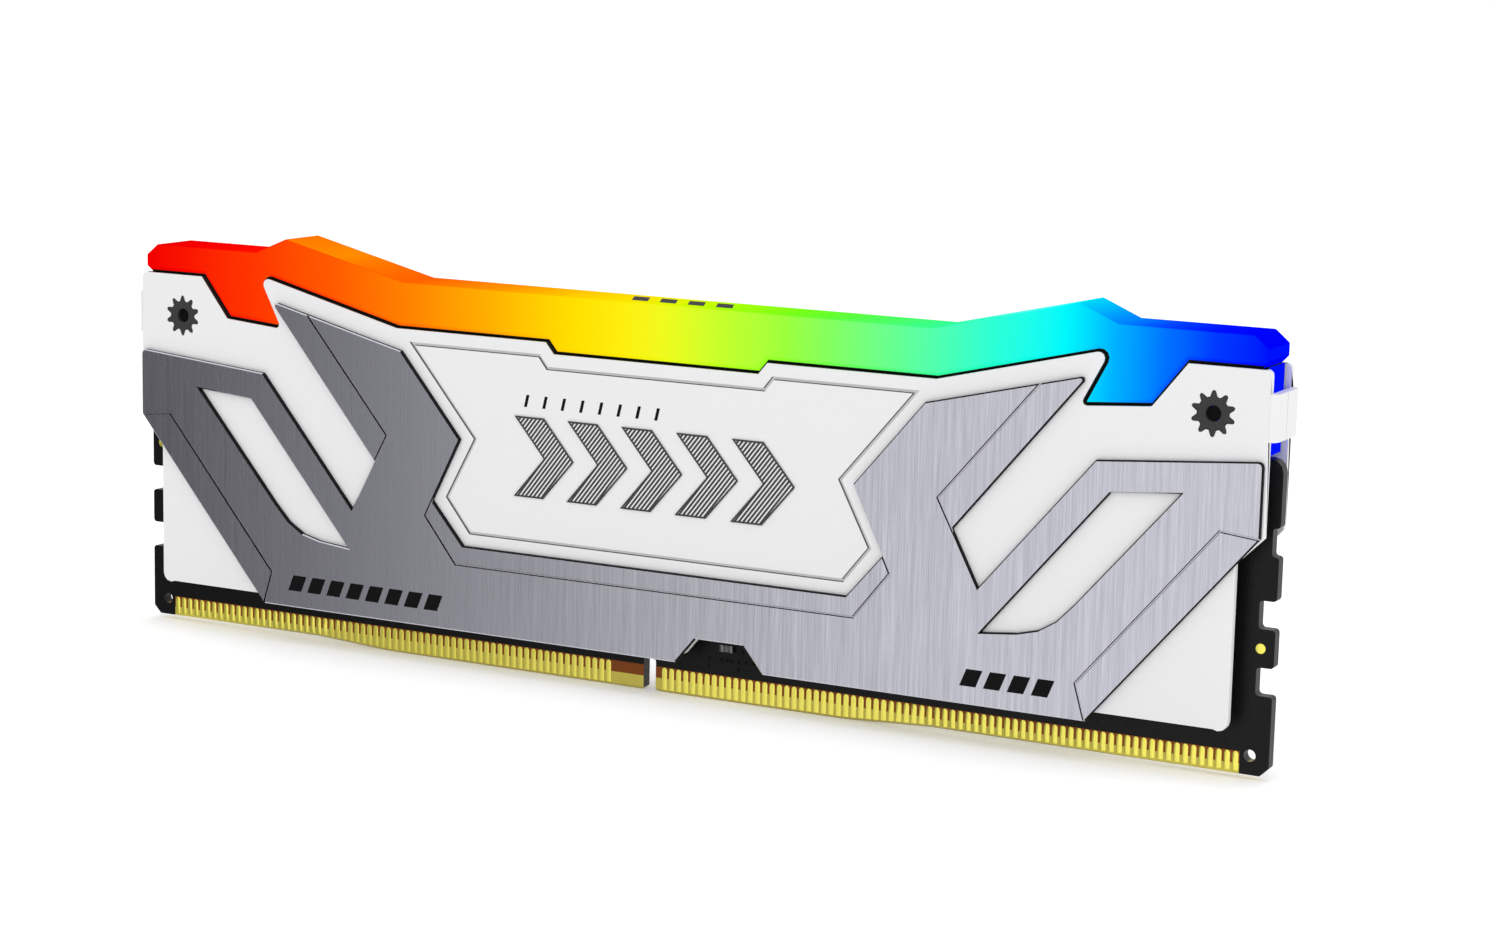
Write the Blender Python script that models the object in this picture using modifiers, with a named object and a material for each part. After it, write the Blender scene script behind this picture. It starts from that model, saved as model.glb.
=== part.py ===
"""A desktop memory module: circuit board, chips, two heat spreaders with accent plates, and a light bar.

Sizes are in millimetres and are turned into metres where a mesh is made. X runs along the module,
Y through its thickness with the front facing -Y, and Z up. The origin is under the middle of the
contact edge.
"""

import math

import bmesh
import bpy
from mathutils import Matrix

MM = 0.001

# ---------------------------------------------------------------- driving dimensions

# circuit board
BOARD_LENGTH = 133.35
BOARD_HEIGHT = 31.25
BOARD_THICKNESS = 1.27
BOARD_TOP_RADIUS = 1.3
BOARD_BOTTOM_CUT = 0.9
BOARD_CORNER_RADIUS = 0.3
CONTACT_EDGE_STEP = 0.5
CONTACT_EDGE_RAMPS = ((-44.0, -34.5), (21.3, 31.1))
KEY_SLOT_CENTRE = -1.36
KEY_SLOT_WIDTH = 1.46
KEY_SLOT_HEIGHT = 3.9
CORNER_HOLE_INSET = 1.95
CORNER_HOLE_HEIGHT = 2.4
CORNER_HOLE_DIAMETER = 1.2
# bottom, top and depth of each notch in a board end
END_NOTCHES = ((8.35, 11.1, 1.7), (14.85, 17.6, 1.7), (21.9, 24.65, 0.72))
NOTCH_RADIUS = 0.35

# gold contacts
CONTACT_PITCH = 0.85
CONTACT_WIDTH = 0.6
CONTACT_TOP = 2.68
CONTACT_EDGE_MARGIN = 0.3
CONTACT_TIE_HEIGHT = 0.25
CONTACT_THICKNESS = 0.04
CONTACT_GAP = 0.01
FIRST_CONTACT_INSET = 3.35
LEFT_CONTACTS = 68
RIGHT_CONTACTS = 75
SKIPPED_CONTACTS = 7

# heat spreaders
WALL = 0.8
CAVITY_HALF_DEPTH = 2.5
SPREADER_BOTTOM = 4.25
SPREADER_ABOVE_BOARD = 8.7
SHOULDER_BELOW_BOARD_TOP = 7.25
SPREADER_END_GAP = 0.75
SPREADER_LOWER_INSET = 2.65
SPREADER_CORNER_RADIUS = 1.0
SPREADER_TOP_RADIUS = 0.55
END_TAB_BOTTOM = 1.9
END_TAB_HEIGHT = 4.55
END_TAB_BEND = 1.0
END_TAB_ROOT = 0.8
END_TAB_SEAM_Y = -0.4
END_TAB_SEAM_GAP = 0.1
WINDOW_CENTRE = 8.5
WINDOW_BOTTOM_WIDTH = 10.2
WINDOW_TOP_WIDTH = 5.6
WINDOW_HEIGHT = 2.75

# accent plates
ACCENT_THICKNESS = 0.5
ACCENT_END_INSET = 0.2
ACCENT_CORNER_RADIUS = 0.5
ACCENT_TIP_RADIUS = 0.3
ACCENT_GAP = 0.03

# light bar
LIGHT_BAR_MIDDLE_TOP = 9.95
LIGHT_BAR_PEAK = 13.55
LIGHT_BAR_SHOULDER = 11.85
LIGHT_BAR_END_TOP = 10.65
LIGHT_BAR_END_INSET = 1.2
LIGHT_BAR_HEAD_HALF_DEPTH = 3.0
LIGHT_BAR_WEB_HALF_DEPTH = 2.2
LIGHT_BAR_WEB_GAP = 0.3
LIGHT_BAR_WEB_END_INSET = 0.15
LIGHT_BAR_CLEARANCE = 0.12
# where a leg meets the head, at its inner lower corner and at its outer lower corner
LEG_RADII = (0.75, 0.3, 0.25)
HEAD_STEP_IN = 12.0
HEAD_STEP_OUT = 13.0

# star inserts and the pins behind them
STAR_DIAMETER = 4.4
STAR_TOOTH_DEPTH = 0.62
STAR_TEETH = 10
STAR_HOLE_DIAMETER = 1.55
STAR_CLEARANCE = 0.06
STAR_RECESS = 0.06
STAR_END_INSET = 6.3
STAR_ABOVE_BOARD = 4.15
PIN_CLEARANCE = 0.1
PIN_RECESS = 0.55

# chips and small components: a size is width, height and thickness, and places are along the board
CHIP_WIDTH = 9.0
CHIP_HEIGHT = 11.0
CHIP_THICKNESS = 0.85
CHIP_STANDOFF = 0.3
CHIPS_PER_HALF = 4
CHIP_ROW_BELOW_TOP = 10.25
CHIP_ROW_START = 13.5
CHIP_ROW_END_MARGIN = 7.6
SOLDER_GAP = 0.05
POWER_ROW_BELOW_TOP = 5.75
POWER_CHIP_SIZE = (5.0, 5.0, 0.8)
INDUCTOR_SIZE = (4.2, 4.0, 1.5)
INDUCTOR_PLACES = (-9.0, 9.0, 14.5)
BULK_CAPACITOR_SIZE = (1.25, 2.0, 1.1)
BULK_CAPACITOR_PLACES = (-14.5, -12.5, 18.8, 20.8)
LIGHT_CONTROLLER_SIZE = (3.0, 3.0, 0.8)
LIGHT_CONTROLLER_PLACE = -22.0
HUB_SIZE = (3.0, 2.0, 0.75)
WINDOW_CAPACITOR_SIZE = (1.5, 0.8, 0.5)
WINDOW_CAPACITOR_SHIFT = -0.55
WINDOW_CAPACITOR_RISE = 1.5

# thermal pads
PAD_GAP = 0.05
PAD_OVERHANG = 0.6
POWER_PAD_OVERHANG = 0.2

# lights
LED_COUNT = 10
LED_SIZE = (3.0, 1.3, 1.0)
LED_TOP_MARGIN = 0.15
LED_END_MARGIN = 9.0

# how far a cutter passes the faces it cuts
CUTTER_REACH = 1.0

# ---------------------------------------------------------------- sizes that follow from them

HALF_LENGTH = BOARD_LENGTH / 2
HALF_BOARD = BOARD_THICKNESS / 2
SPREADER_FACE = CAVITY_HALF_DEPTH + WALL
SPREADER_END = HALF_LENGTH - SPREADER_END_GAP
SPREADER_TOP = BOARD_HEIGHT + SPREADER_ABOVE_BOARD
SPREADER_SHOULDER = BOARD_HEIGHT - SHOULDER_BELOW_BOARD_TOP
ACCENT_BACK = SPREADER_FACE + ACCENT_GAP
LIGHT_BAR_END = HALF_LENGTH - LIGHT_BAR_END_INSET
HEAD_BOTTOM = SPREADER_TOP + LIGHT_BAR_CLEARANCE
STAR_X = HALF_LENGTH - STAR_END_INSET
STAR_Z = BOARD_HEIGHT + STAR_ABOVE_BOARD
PIN_DIAMETER = STAR_HOLE_DIAMETER - PIN_CLEARANCE
CHIP_TOP = HALF_BOARD + CHIP_STANDOFF + CHIP_THICKNESS
CHIP_ROW_Z = BOARD_HEIGHT - CHIP_ROW_BELOW_TOP - CHIP_HEIGHT / 2
POWER_ROW_Z = BOARD_HEIGHT - POWER_ROW_BELOW_TOP


def from_end(distance):
    """X of a point that keeps its distance to the module's end."""
    return HALF_LENGTH - distance


def from_top(distance):
    """Z of a point that keeps its distance to the board's top edge, positive upwards."""
    return BOARD_HEIGHT + distance


# ---------------------------------------------------------------- scene and materials

for old in list(bpy.data.objects):
    bpy.data.objects.remove(old, do_unlink=True)

parts = bpy.data.collections.new("memory_module")
cutters = bpy.data.collections.new("cutters")
for collection in (parts, cutters):
    bpy.context.scene.collection.children.link(collection)


def material(name, colour, roughness, metallic=0.0):
    made = bpy.data.materials.new(name)
    made.use_nodes = True
    shader = made.node_tree.nodes["Principled BSDF"]
    shader.inputs["Base Color"].default_value = (*colour, 1.0)
    shader.inputs["Roughness"].default_value = roughness
    shader.inputs["Metallic"].default_value = metallic
    return made


SOLDER_MASK = material("black_solder_mask", (0.012, 0.012, 0.013), 0.45)
GOLD = material("contact_gold", (0.90, 0.68, 0.16), 0.25, 1.0)
WHITE_PAINT = material("white_paint", (0.84, 0.84, 0.84), 0.45)
BRUSHED_METAL = material("brushed_aluminium", (0.42, 0.42, 0.45), 0.35, 1.0)
DIFFUSER = material("translucent_diffuser", (0.95, 0.55, 0.12), 0.35)
STAR_GREY = material("dark_insert", (0.07, 0.07, 0.07), 0.5)
STEEL = material("black_steel", (0.03, 0.03, 0.03), 0.4, 1.0)
CHIP_BLACK = material("chip_moulding", (0.02, 0.02, 0.022), 0.6)
PAD_GREY = material("thermal_pad", (0.35, 0.37, 0.42), 0.8)
FERRITE = material("inductor_ferrite", (0.12, 0.12, 0.13), 0.6)
CERAMIC = material("capacitor_ceramic", (0.45, 0.38, 0.30), 0.5)
LED_WHITE = material("led_package", (0.85, 0.83, 0.75), 0.4)


# ---------------------------------------------------------------- outlines


def arc(centre, radius, start, end, steps):
    """Points of an arc, with its angles in degrees."""
    angles = [math.radians(start + (end - start) * i / steps) for i in range(steps + 1)]
    return [(centre[0] + radius * math.cos(a), centre[1] + radius * math.sin(a)) for a in angles]


def rounded(points, radii, steps=4):
    """The closed outline with an arc in each corner that radii gives a radius to."""
    made = []
    for i, corner in enumerate(points):
        radius = radii.get(i, 0)
        if not radius:
            made.append(corner)
            continue
        made += corner_arc(points[i - 1], corner, points[(i + 1) % len(points)], radius, steps)
    return made


def corner_arc(before, corner, after, radius, steps):
    """The arc that touches both sides of a corner, limited to less than half of the shorter side."""
    sides = [(p[0] - corner[0], p[1] - corner[1]) for p in (before, after)]
    lengths = [math.hypot(*side) for side in sides]
    (ax, ay), (bx, by) = [(s[0] / n, s[1] / n) for s, n in zip(sides, lengths)]
    half_angle = math.acos(max(-1.0, min(1.0, ax * bx + ay * by))) / 2
    run = min(radius / math.tan(half_angle), 0.45 * min(lengths))
    radius = run * math.tan(half_angle)
    reach = radius / math.sin(half_angle)
    bisector = math.hypot(ax + bx, ay + by)
    centre = (corner[0] + (ax + bx) / bisector * reach, corner[1] + (ay + by) / bisector * reach)
    start = math.atan2(corner[1] + ay * run - centre[1], corner[0] + ax * run - centre[0])
    end = math.atan2(corner[1] + by * run - centre[1], corner[0] + bx * run - centre[0])
    turn = (end - start + math.pi) % (2 * math.pi) - math.pi
    return [
        (centre[0] + radius * math.cos(start + turn * i / steps),
         centre[1] + radius * math.sin(start + turn * i / steps))
        for i in range(steps + 1)
    ]


def both_sides(right_half):
    """A symmetric closed outline from its right half, which runs from bottom to top."""
    left_half = [(-x, z) for x, z in reversed(right_half)]
    return right_half + left_half


def edge_height(x):
    """Height of the contact edge, whose middle hangs lower than its two ends."""
    (left_high, left_low), (right_low, right_high) = CONTACT_EDGE_RAMPS
    if x < left_low:
        share = (left_low - x) / (left_low - left_high)
    else:
        share = (x - right_low) / (right_high - right_low)
    return CONTACT_EDGE_STEP * max(0.0, min(1.0, share))


def board_outline():
    """The board's outline with its end notches and the key slot, anticlockwise from the slot."""
    slot_left = KEY_SLOT_CENTRE - KEY_SLOT_WIDTH / 2
    slot_right = KEY_SLOT_CENTRE + KEY_SLOT_WIDTH / 2
    slot_round_z = KEY_SLOT_HEIGHT - KEY_SLOT_WIDTH / 2
    ramp_left, ramp_right = CONTACT_EDGE_RAMPS
    outline = [(slot_right, 0)]
    outline += [(ramp_right[0], 0), (ramp_right[1], CONTACT_EDGE_STEP)]
    outline += board_end()
    outline += [(-x, z) for x, z in reversed(board_end())]
    outline += [(ramp_left[0], CONTACT_EDGE_STEP), (ramp_left[1], 0)]
    outline += [(slot_left, 0)]
    outline += arc((KEY_SLOT_CENTRE, slot_round_z), KEY_SLOT_WIDTH / 2, 180, 0, 8)
    return outline


def board_end():
    """The right end of the board, from its bottom corner up to its top corner."""
    cut = BOARD_BOTTOM_CUT
    points = [(HALF_LENGTH - cut, CONTACT_EDGE_STEP), (HALF_LENGTH, CONTACT_EDGE_STEP + cut)]
    radii = {0: BOARD_CORNER_RADIUS, 1: BOARD_CORNER_RADIUS}
    for bottom, top, depth in END_NOTCHES:
        inner = HALF_LENGTH - depth
        radii.update({len(points) + corner: NOTCH_RADIUS for corner in range(4)})
        points += [(HALF_LENGTH, bottom), (inner, bottom), (inner, top), (HALF_LENGTH, top)]
    radii[len(points)] = BOARD_TOP_RADIUS
    points.append((HALF_LENGTH, BOARD_HEIGHT))
    closing = [(0, BOARD_HEIGHT), (0, CONTACT_EDGE_STEP)]
    return rounded(points + closing, radii, steps=3)[: -len(closing)]


def offset(line, distance):
    """An open line of points moved to its right-hand side by a distance, with its corners kept sharp."""
    normals = []
    for (ax, az), (bx, bz) in zip(line, line[1:]):
        length = math.hypot(bx - ax, bz - az)
        normals.append(((bz - az) / length, (ax - bx) / length))
    normals = [normals[0], *normals, normals[-1]]
    moved_line = []
    for (x, z), (ax, az), (bx, bz) in zip(line, normals, normals[1:]):
        reach = distance / (1 + ax * bx + az * bz)
        moved_line.append((x + (ax + bx) * reach, z + (az + bz) * reach))
    return moved_line


def head_lower_edge():
    """The lower edge of the light bar's head and leg, right half, from the middle to the end."""
    return [
        (0, from_top(3.9)),
        (HEAD_STEP_IN, from_top(3.9)),
        (HEAD_STEP_OUT, from_top(5.1)),
        (from_end(34.9), from_top(5.1)),
        (from_end(16.55), from_top(9.55)),
        (from_end(19.55), from_top(3.85)),
        (from_end(12.5), from_top(4.4)),
        (from_end(9.0), HEAD_BOTTOM),
        (LIGHT_BAR_END, HEAD_BOTTOM),
    ]


def head_outline():
    """The whole head of the light bar with its legs: top profile, end chamfers and lower edge."""
    right = head_lower_edge() + [
        (LIGHT_BAR_END, from_top(LIGHT_BAR_END_TOP)),
        (from_end(2.65), from_top(LIGHT_BAR_SHOULDER)),
        (from_end(16.2), from_top(LIGHT_BAR_SHOULDER)),
        (from_end(20.2), from_top(LIGHT_BAR_PEAK)),
        (from_end(35.55), from_top(LIGHT_BAR_MIDDLE_TOP)),
    ]
    crotch, toe, heel = LEG_RADII
    right = rounded(right, {4: crotch, 5: toe, 6: heel})
    return both_sides(right[1:])


def web_outline():
    """The part of the light bar between the two spreaders, from just above the board into the head."""
    bottom = from_top(LIGHT_BAR_WEB_GAP)
    end = LIGHT_BAR_END - LIGHT_BAR_WEB_END_INSET
    inside_head = 0.8
    return both_sides([
        (end, bottom),
        (end, SPREADER_TOP + inside_head),
        (from_end(17.0), from_top(9.55) + inside_head),
        (from_end(34.9), from_top(5.1) + inside_head),
    ])


def spreader_outline():
    """The flat of a heat spreader, whose top edge follows the light bar with a clearance."""
    lower_side = from_end(SPREADER_LOWER_INSET + SPREADER_END_GAP)
    right = [
        (lower_side, SPREADER_BOTTOM),
        (lower_side, SPREADER_SHOULDER - SPREADER_LOWER_INSET),
        (SPREADER_END, SPREADER_SHOULDER),
        (SPREADER_END, SPREADER_TOP),
    ]
    top_edge = offset(head_lower_edge(), LIGHT_BAR_CLEARANCE)
    right += list(reversed(top_edge[1:-1]))
    crotch, toe, heel = LEG_RADII
    gap = LIGHT_BAR_CLEARANCE
    radii = {0: SPREADER_CORNER_RADIUS, 3: SPREADER_TOP_RADIUS}
    radii.update({5: heel + gap, 6: toe + gap, 7: crotch - gap})
    return both_sides(rounded(right, radii))


def accent_outline():
    """The accent plate: a wing with two legs on each side and a band below the centre panel."""
    end = SPREADER_END - ACCENT_END_INSET
    right = [
        (from_end(17.75), SPREADER_BOTTOM),
        (end, SPREADER_SHOULDER),
        (end, from_top(0.1)),
        (from_end(17.65), from_top(-1.3)),
        (from_end(29.5), 16.05),
        (from_end(32.45), 21.6),
        (from_end(18.7), from_top(6.75)),
        (from_end(35.8), from_top(2.65)),
        (from_end(43.35), 25.0),
        (from_end(39.9), 18.1),
        (from_end(43.85), 13.55),
    ]
    return both_sides(rounded(right, {2: ACCENT_CORNER_RADIUS, 6: ACCENT_TIP_RADIUS}, steps=3))


def accent_slot(side):
    """The closed slot in a wing of the accent plate, with one swept corner."""
    sweep = [(from_end(19.3), 15.6), (from_end(21.1), 13.75), (from_end(23.0), 12.6), (from_end(25.2), 12.05)]
    points = [(from_end(29.05), 11.65), (from_end(16.0), from_top(-4.3)), (from_end(8.9), from_top(-3.7))]
    return [(side * x, z) for x, z in points + sweep]


def star_outline(radius_change=0.0):
    """A ten-toothed star with rounded teeth, about its own centre."""
    outer = STAR_DIAMETER / 2 + radius_change
    root = outer - STAR_TOOTH_DEPTH
    tooth = 2 * math.pi / STAR_TEETH
    shape = ((-0.36, root), (-0.14, outer - 0.12), (0.0, outer), (0.14, outer - 0.12), (0.36, root))
    points = []
    for i in range(STAR_TEETH):
        for share, radius in shape:
            angle = math.pi / 2 + (i + share) * tooth
            points.append((radius * math.cos(angle), radius * math.sin(angle)))
    return points


def circle(radius, sides=24):
    return arc((0, 0), radius, 0, 360, sides)[:-1]


def moved(points, x, z):
    return [(px + x, pz + z) for px, pz in points]


def window_outline():
    """The trapezoid cut out of a spreader's and accent plate's bottom edge, open downwards."""
    below = 1.0
    slope = (WINDOW_BOTTOM_WIDTH - WINDOW_TOP_WIDTH) / 2 / WINDOW_HEIGHT
    half_bottom = WINDOW_BOTTOM_WIDTH / 2 + slope * below
    half_top = WINDOW_TOP_WIDTH / 2
    top = SPREADER_BOTTOM + WINDOW_HEIGHT
    points = [(-half_bottom, SPREADER_BOTTOM - below), (half_bottom, SPREADER_BOTTOM - below)]
    points += [(half_top, top), (-half_top, top)]
    return moved(points, WINDOW_CENTRE, 0)


def contact_comb(first, count):
    """One row of contacts, which a thin plating tie joins along its lower end."""
    start = -HALF_LENGTH + FIRST_CONTACT_INSET
    centres = [start + (first + i) * CONTACT_PITCH for i in range(count)]
    half = CONTACT_WIDTH / 2
    ends = (centres[0] - half, centres[-1] + half)
    ramps = [x for ramp in CONTACT_EDGE_RAMPS for x in ramp if ends[0] < x < ends[1]]
    lower = [(x, edge_height(x) + CONTACT_EDGE_MARGIN) for x in (ends[0], *ramps, ends[1])]
    upper = []
    for x in reversed(centres):
        for side, height in ((1, "tie"), (1, "top"), (-1, "top"), (-1, "tie")):
            px = x + side * half
            tie = edge_height(px) + CONTACT_EDGE_MARGIN + CONTACT_TIE_HEIGHT
            upper.append((px, CONTACT_TOP if height == "top" else tie))
    return lower + upper[1:-1]


# ---------------------------------------------------------------- making solids


def flat_piece(name, outline, y_low, y_high, finish=None, home=parts):
    """A flat outline given thickness along Y."""
    standing = Matrix.Translation((0, (y_low + y_high) / 2 * MM, 0)) @ Matrix.Rotation(math.pi / 2, 4, "X")
    return extruded(name, outline, y_high - y_low, standing, finish, home)


def extruded(name, outline, thickness, placed, finish=None, home=parts):
    """A closed outline extruded both ways from its plane, with each end closed by one flat face."""
    curve = bpy.data.curves.new(name, "CURVE")
    curve.dimensions = "2D"
    curve.fill_mode = "NONE"
    curve.extrude = thickness / 2 * MM
    spline = curve.splines.new("POLY")
    spline.points.add(len(outline) - 1)
    for point, (x, y) in zip(spline.points, outline):
        point.co = (x * MM, y * MM, 0, 1)
    spline.use_cyclic_u = True
    rim = bpy.data.objects.new(name, curve)
    bpy.context.scene.collection.objects.link(rim)
    rim.matrix_world = placed
    bpy.context.view_layer.update()
    solid = as_mesh(rim, name, home)
    if finish:
        solid.data.materials.append(finish)
    return solid


def as_mesh(source, name, home):
    """The evaluated wall of a curve object as a mesh in its place, with its open ends closed."""
    graph = bpy.context.evaluated_depsgraph_get()
    mesh = bpy.data.meshes.new_from_object(source.evaluated_get(graph))
    mesh.transform(source.matrix_world)
    bpy.data.objects.remove(source, do_unlink=True)
    wall = bmesh.new()
    wall.from_mesh(mesh)
    bmesh.ops.remove_doubles(wall, verts=wall.verts, dist=1e-7)
    open_edges = [edge for edge in wall.edges if edge.is_boundary]
    bmesh.ops.edgeloop_fill(wall, edges=open_edges)
    bmesh.ops.recalc_face_normals(wall, faces=wall.faces)
    wall.to_mesh(mesh)
    wall.free()
    mesh.name = name
    mesh.materials.clear()
    solid = bpy.data.objects.new(name, mesh)
    home.objects.link(solid)
    return solid


def block(name, centre, size, finish, bevel=0.0):
    """A box with its edges bevelled, placed by its centre."""
    box = bmesh.new()
    bmesh.ops.create_cube(box, size=MM, matrix=Matrix.Diagonal((*size, 1)))
    mesh = bpy.data.meshes.new(name)
    box.to_mesh(mesh)
    box.free()
    mesh.materials.append(finish)
    solid = bpy.data.objects.new(name, mesh)
    solid.location = [c * MM for c in centre]
    parts.objects.link(solid)
    if bevel:
        edge = solid.modifiers.new("edges", "BEVEL")
        edge.width = bevel * MM
        edge.segments = 1
    return solid


def rod(name, x, z, y_low, y_high, diameter, finish, home=parts):
    """A cylinder along Y."""
    turned = bmesh.new()
    radius = diameter / 2 * MM
    bmesh.ops.create_cone(
        turned, cap_ends=True, segments=24, radius1=radius, radius2=radius, depth=(y_high - y_low) * MM
    )
    mesh = bpy.data.meshes.new(name)
    turned.to_mesh(mesh)
    turned.free()
    if finish:
        mesh.materials.append(finish)
    mesh.shade_smooth()
    mesh.set_sharp_from_angle(angle=math.radians(40))
    solid = bpy.data.objects.new(name, mesh)
    solid.rotation_euler.x = math.pi / 2
    solid.location = (x * MM, (y_low + y_high) / 2 * MM, z * MM)
    home.objects.link(solid)
    return solid


def boolean(target, tool, operation):
    """Cuts or joins with a helper object, which leaves the render."""
    tool.hide_render = True
    tool.display_type = "WIRE"
    change = target.modifiers.new(tool.name, "BOOLEAN")
    change.operation = operation
    change.solver = "EXACT"
    change.object = tool


def facing(side, near, far):
    """The two Y limits of a layer, on the front (-1) or on the back (1), from its distances to the middle."""
    limits = (side * near, side * far)
    return min(limits), max(limits)


# ---------------------------------------------------------------- the pieces

FRONT, BACK = -1, 1
SIDES = (("front", FRONT), ("back", BACK))
ENDS = (("left", -1), ("right", 1))


def make_circuit_board():
    board = flat_piece("circuit_board", board_outline(), -HALF_BOARD, HALF_BOARD, SOLDER_MASK)
    x = from_end(CORNER_HOLE_INSET)
    for end_name, end in ENDS:
        drill(board, f"corner_hole_{end_name}", end * x, CORNER_HOLE_HEIGHT, CORNER_HOLE_DIAMETER, HALF_BOARD)


def make_contacts():
    rows = (("left", 0, LEFT_CONTACTS), ("right", LEFT_CONTACTS + SKIPPED_CONTACTS, RIGHT_CONTACTS))
    near = HALF_BOARD + CONTACT_GAP
    for side_name, side in SIDES:
        for row_name, first, count in rows:
            y_low, y_high = facing(side, near, near + CONTACT_THICKNESS)
            flat_piece(f"contacts_{side_name}_{row_name}", contact_comb(first, count), y_low, y_high, GOLD)


def on_board(name, x, z, side, size, finish, standoff=SOLDER_GAP, bevel=0.0):
    """A component on one face of the board: size is width, height and thickness."""
    width, height, thickness = size
    y = side * (HALF_BOARD + standoff + thickness / 2)
    return block(name, (x, y, z), (width, thickness, height), finish, bevel)


def make_memory_chips():
    room = HALF_LENGTH - CHIP_ROW_END_MARGIN - CHIP_ROW_START
    pitch = (room - CHIP_WIDTH) / (CHIPS_PER_HALF - 1)
    first = CHIP_ROW_START + CHIP_WIDTH / 2
    right = [first + i * pitch for i in range(CHIPS_PER_HALF)]
    centres = [-x for x in reversed(right)] + right
    size = (CHIP_WIDTH, CHIP_HEIGHT, CHIP_THICKNESS)
    for side_name, side in SIDES:
        for number, x in enumerate(centres, 1):
            name = f"memory_chip_{side_name}_{number}"
            on_board(name, x, CHIP_ROW_Z, side, size, CHIP_BLACK, CHIP_STANDOFF)


def make_power_parts():
    """The power management chip, its coils and its bulk capacitors, above the row of memory chips."""
    z = POWER_ROW_Z
    on_board("power_management_chip", 0, z, FRONT, POWER_CHIP_SIZE, CHIP_BLACK)
    for number, x in enumerate(INDUCTOR_PLACES, 1):
        on_board(f"power_inductor_{number}", x, z, FRONT, INDUCTOR_SIZE, FERRITE, bevel=0.3)
    for number, x in enumerate(BULK_CAPACITOR_PLACES, 1):
        on_board(f"bulk_capacitor_{number}", x, z, FRONT, BULK_CAPACITOR_SIZE, CERAMIC, bevel=0.1)


def make_logic_parts():
    on_board("detect_hub", 0, CHIP_ROW_Z, FRONT, HUB_SIZE, CHIP_BLACK)
    place = (LIGHT_CONTROLLER_PLACE, POWER_ROW_Z)
    on_board("light_controller", *place, FRONT, LIGHT_CONTROLLER_SIZE, CHIP_BLACK)
    x = WINDOW_CENTRE + WINDOW_CAPACITOR_SHIFT
    z = SPREADER_BOTTOM + WINDOW_CAPACITOR_RISE
    on_board("window_capacitor", x, z, FRONT, WINDOW_CAPACITOR_SIZE, CERAMIC, bevel=0.08)


def make_thermal_pads():
    """A long pad over each row of memory chips, and a small one over the power management chip."""
    width = 2 * (HALF_LENGTH - CHIP_ROW_END_MARGIN + PAD_OVERHANG)
    height = CHIP_HEIGHT + 2 * PAD_OVERHANG
    near, far = CHIP_TOP + PAD_GAP, CAVITY_HALF_DEPTH - PAD_GAP
    for side_name, side in SIDES:
        centre = (0, side * (near + far) / 2, CHIP_ROW_Z)
        block(f"thermal_pad_{side_name}", centre, (width, far - near, height), PAD_GREY)
    chip_width, chip_height, chip_thickness = POWER_CHIP_SIZE
    near = HALF_BOARD + SOLDER_GAP + chip_thickness + PAD_GAP
    size = (chip_width + 2 * POWER_PAD_OVERHANG, far - near, chip_height + 2 * POWER_PAD_OVERHANG)
    block("power_chip_pad", (0, FRONT * (near + far) / 2, POWER_ROW_Z), size, PAD_GREY)


def make_leds():
    """Side-firing lights below the board's top edge, alternating between its two faces."""
    pitch = 2 * (HALF_LENGTH - LED_END_MARGIN) / LED_COUNT
    z = from_top(-LED_TOP_MARGIN) - LED_SIZE[1] / 2
    for i in range(LED_COUNT):
        x = (i - (LED_COUNT - 1) / 2) * pitch
        side = SIDES[i % 2][1]
        on_board(f"led_{i + 1}", x, z, side, LED_SIZE, LED_WHITE, bevel=0.1)


def make_light_bar():
    depth = LIGHT_BAR_HEAD_HALF_DEPTH
    bar = flat_piece("light_bar", head_outline(), -depth, depth, DIFFUSER)
    depth = LIGHT_BAR_WEB_HALF_DEPTH
    boolean(bar, flat_piece("light_bar_web", web_outline(), -depth, depth, home=cutters), "UNION")
    for end_name, end in ENDS:
        drill(bar, f"pin_bore_{end_name}", end * STAR_X, STAR_Z, STAR_HOLE_DIAMETER, depth)


def tab_section(side, reach_y):
    """Section of an end tab in plan: out of the spreader's flat, round the bend, along the module's end."""
    outer_x = HALF_LENGTH
    bend_x = outer_x - END_TAB_BEND
    bend_y = SPREADER_FACE - END_TAB_BEND
    inner = END_TAB_BEND - WALL
    outside = arc((bend_x, bend_y), END_TAB_BEND, 90, 0, 5)
    inside = arc((bend_x, bend_y), inner, 0, 90, 3)
    root_x = bend_x - END_TAB_ROOT
    points = [(root_x, SPREADER_FACE), *outside, (outer_x, reach_y), (outer_x - WALL, reach_y)]
    points += [*inside, (root_x, CAVITY_HALF_DEPTH)]
    return [(x, side * y) for x, y in points]


def end_tab(name, section, end):
    """A tab from its section in plan, standing on its lower edge."""
    middle = from_top(END_TAB_BOTTOM) + END_TAB_HEIGHT / 2
    placed = Matrix.Translation((0, 0, middle * MM))
    return extruded(name, [(end * x, y) for x, y in section], END_TAB_HEIGHT, placed, home=cutters)


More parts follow.
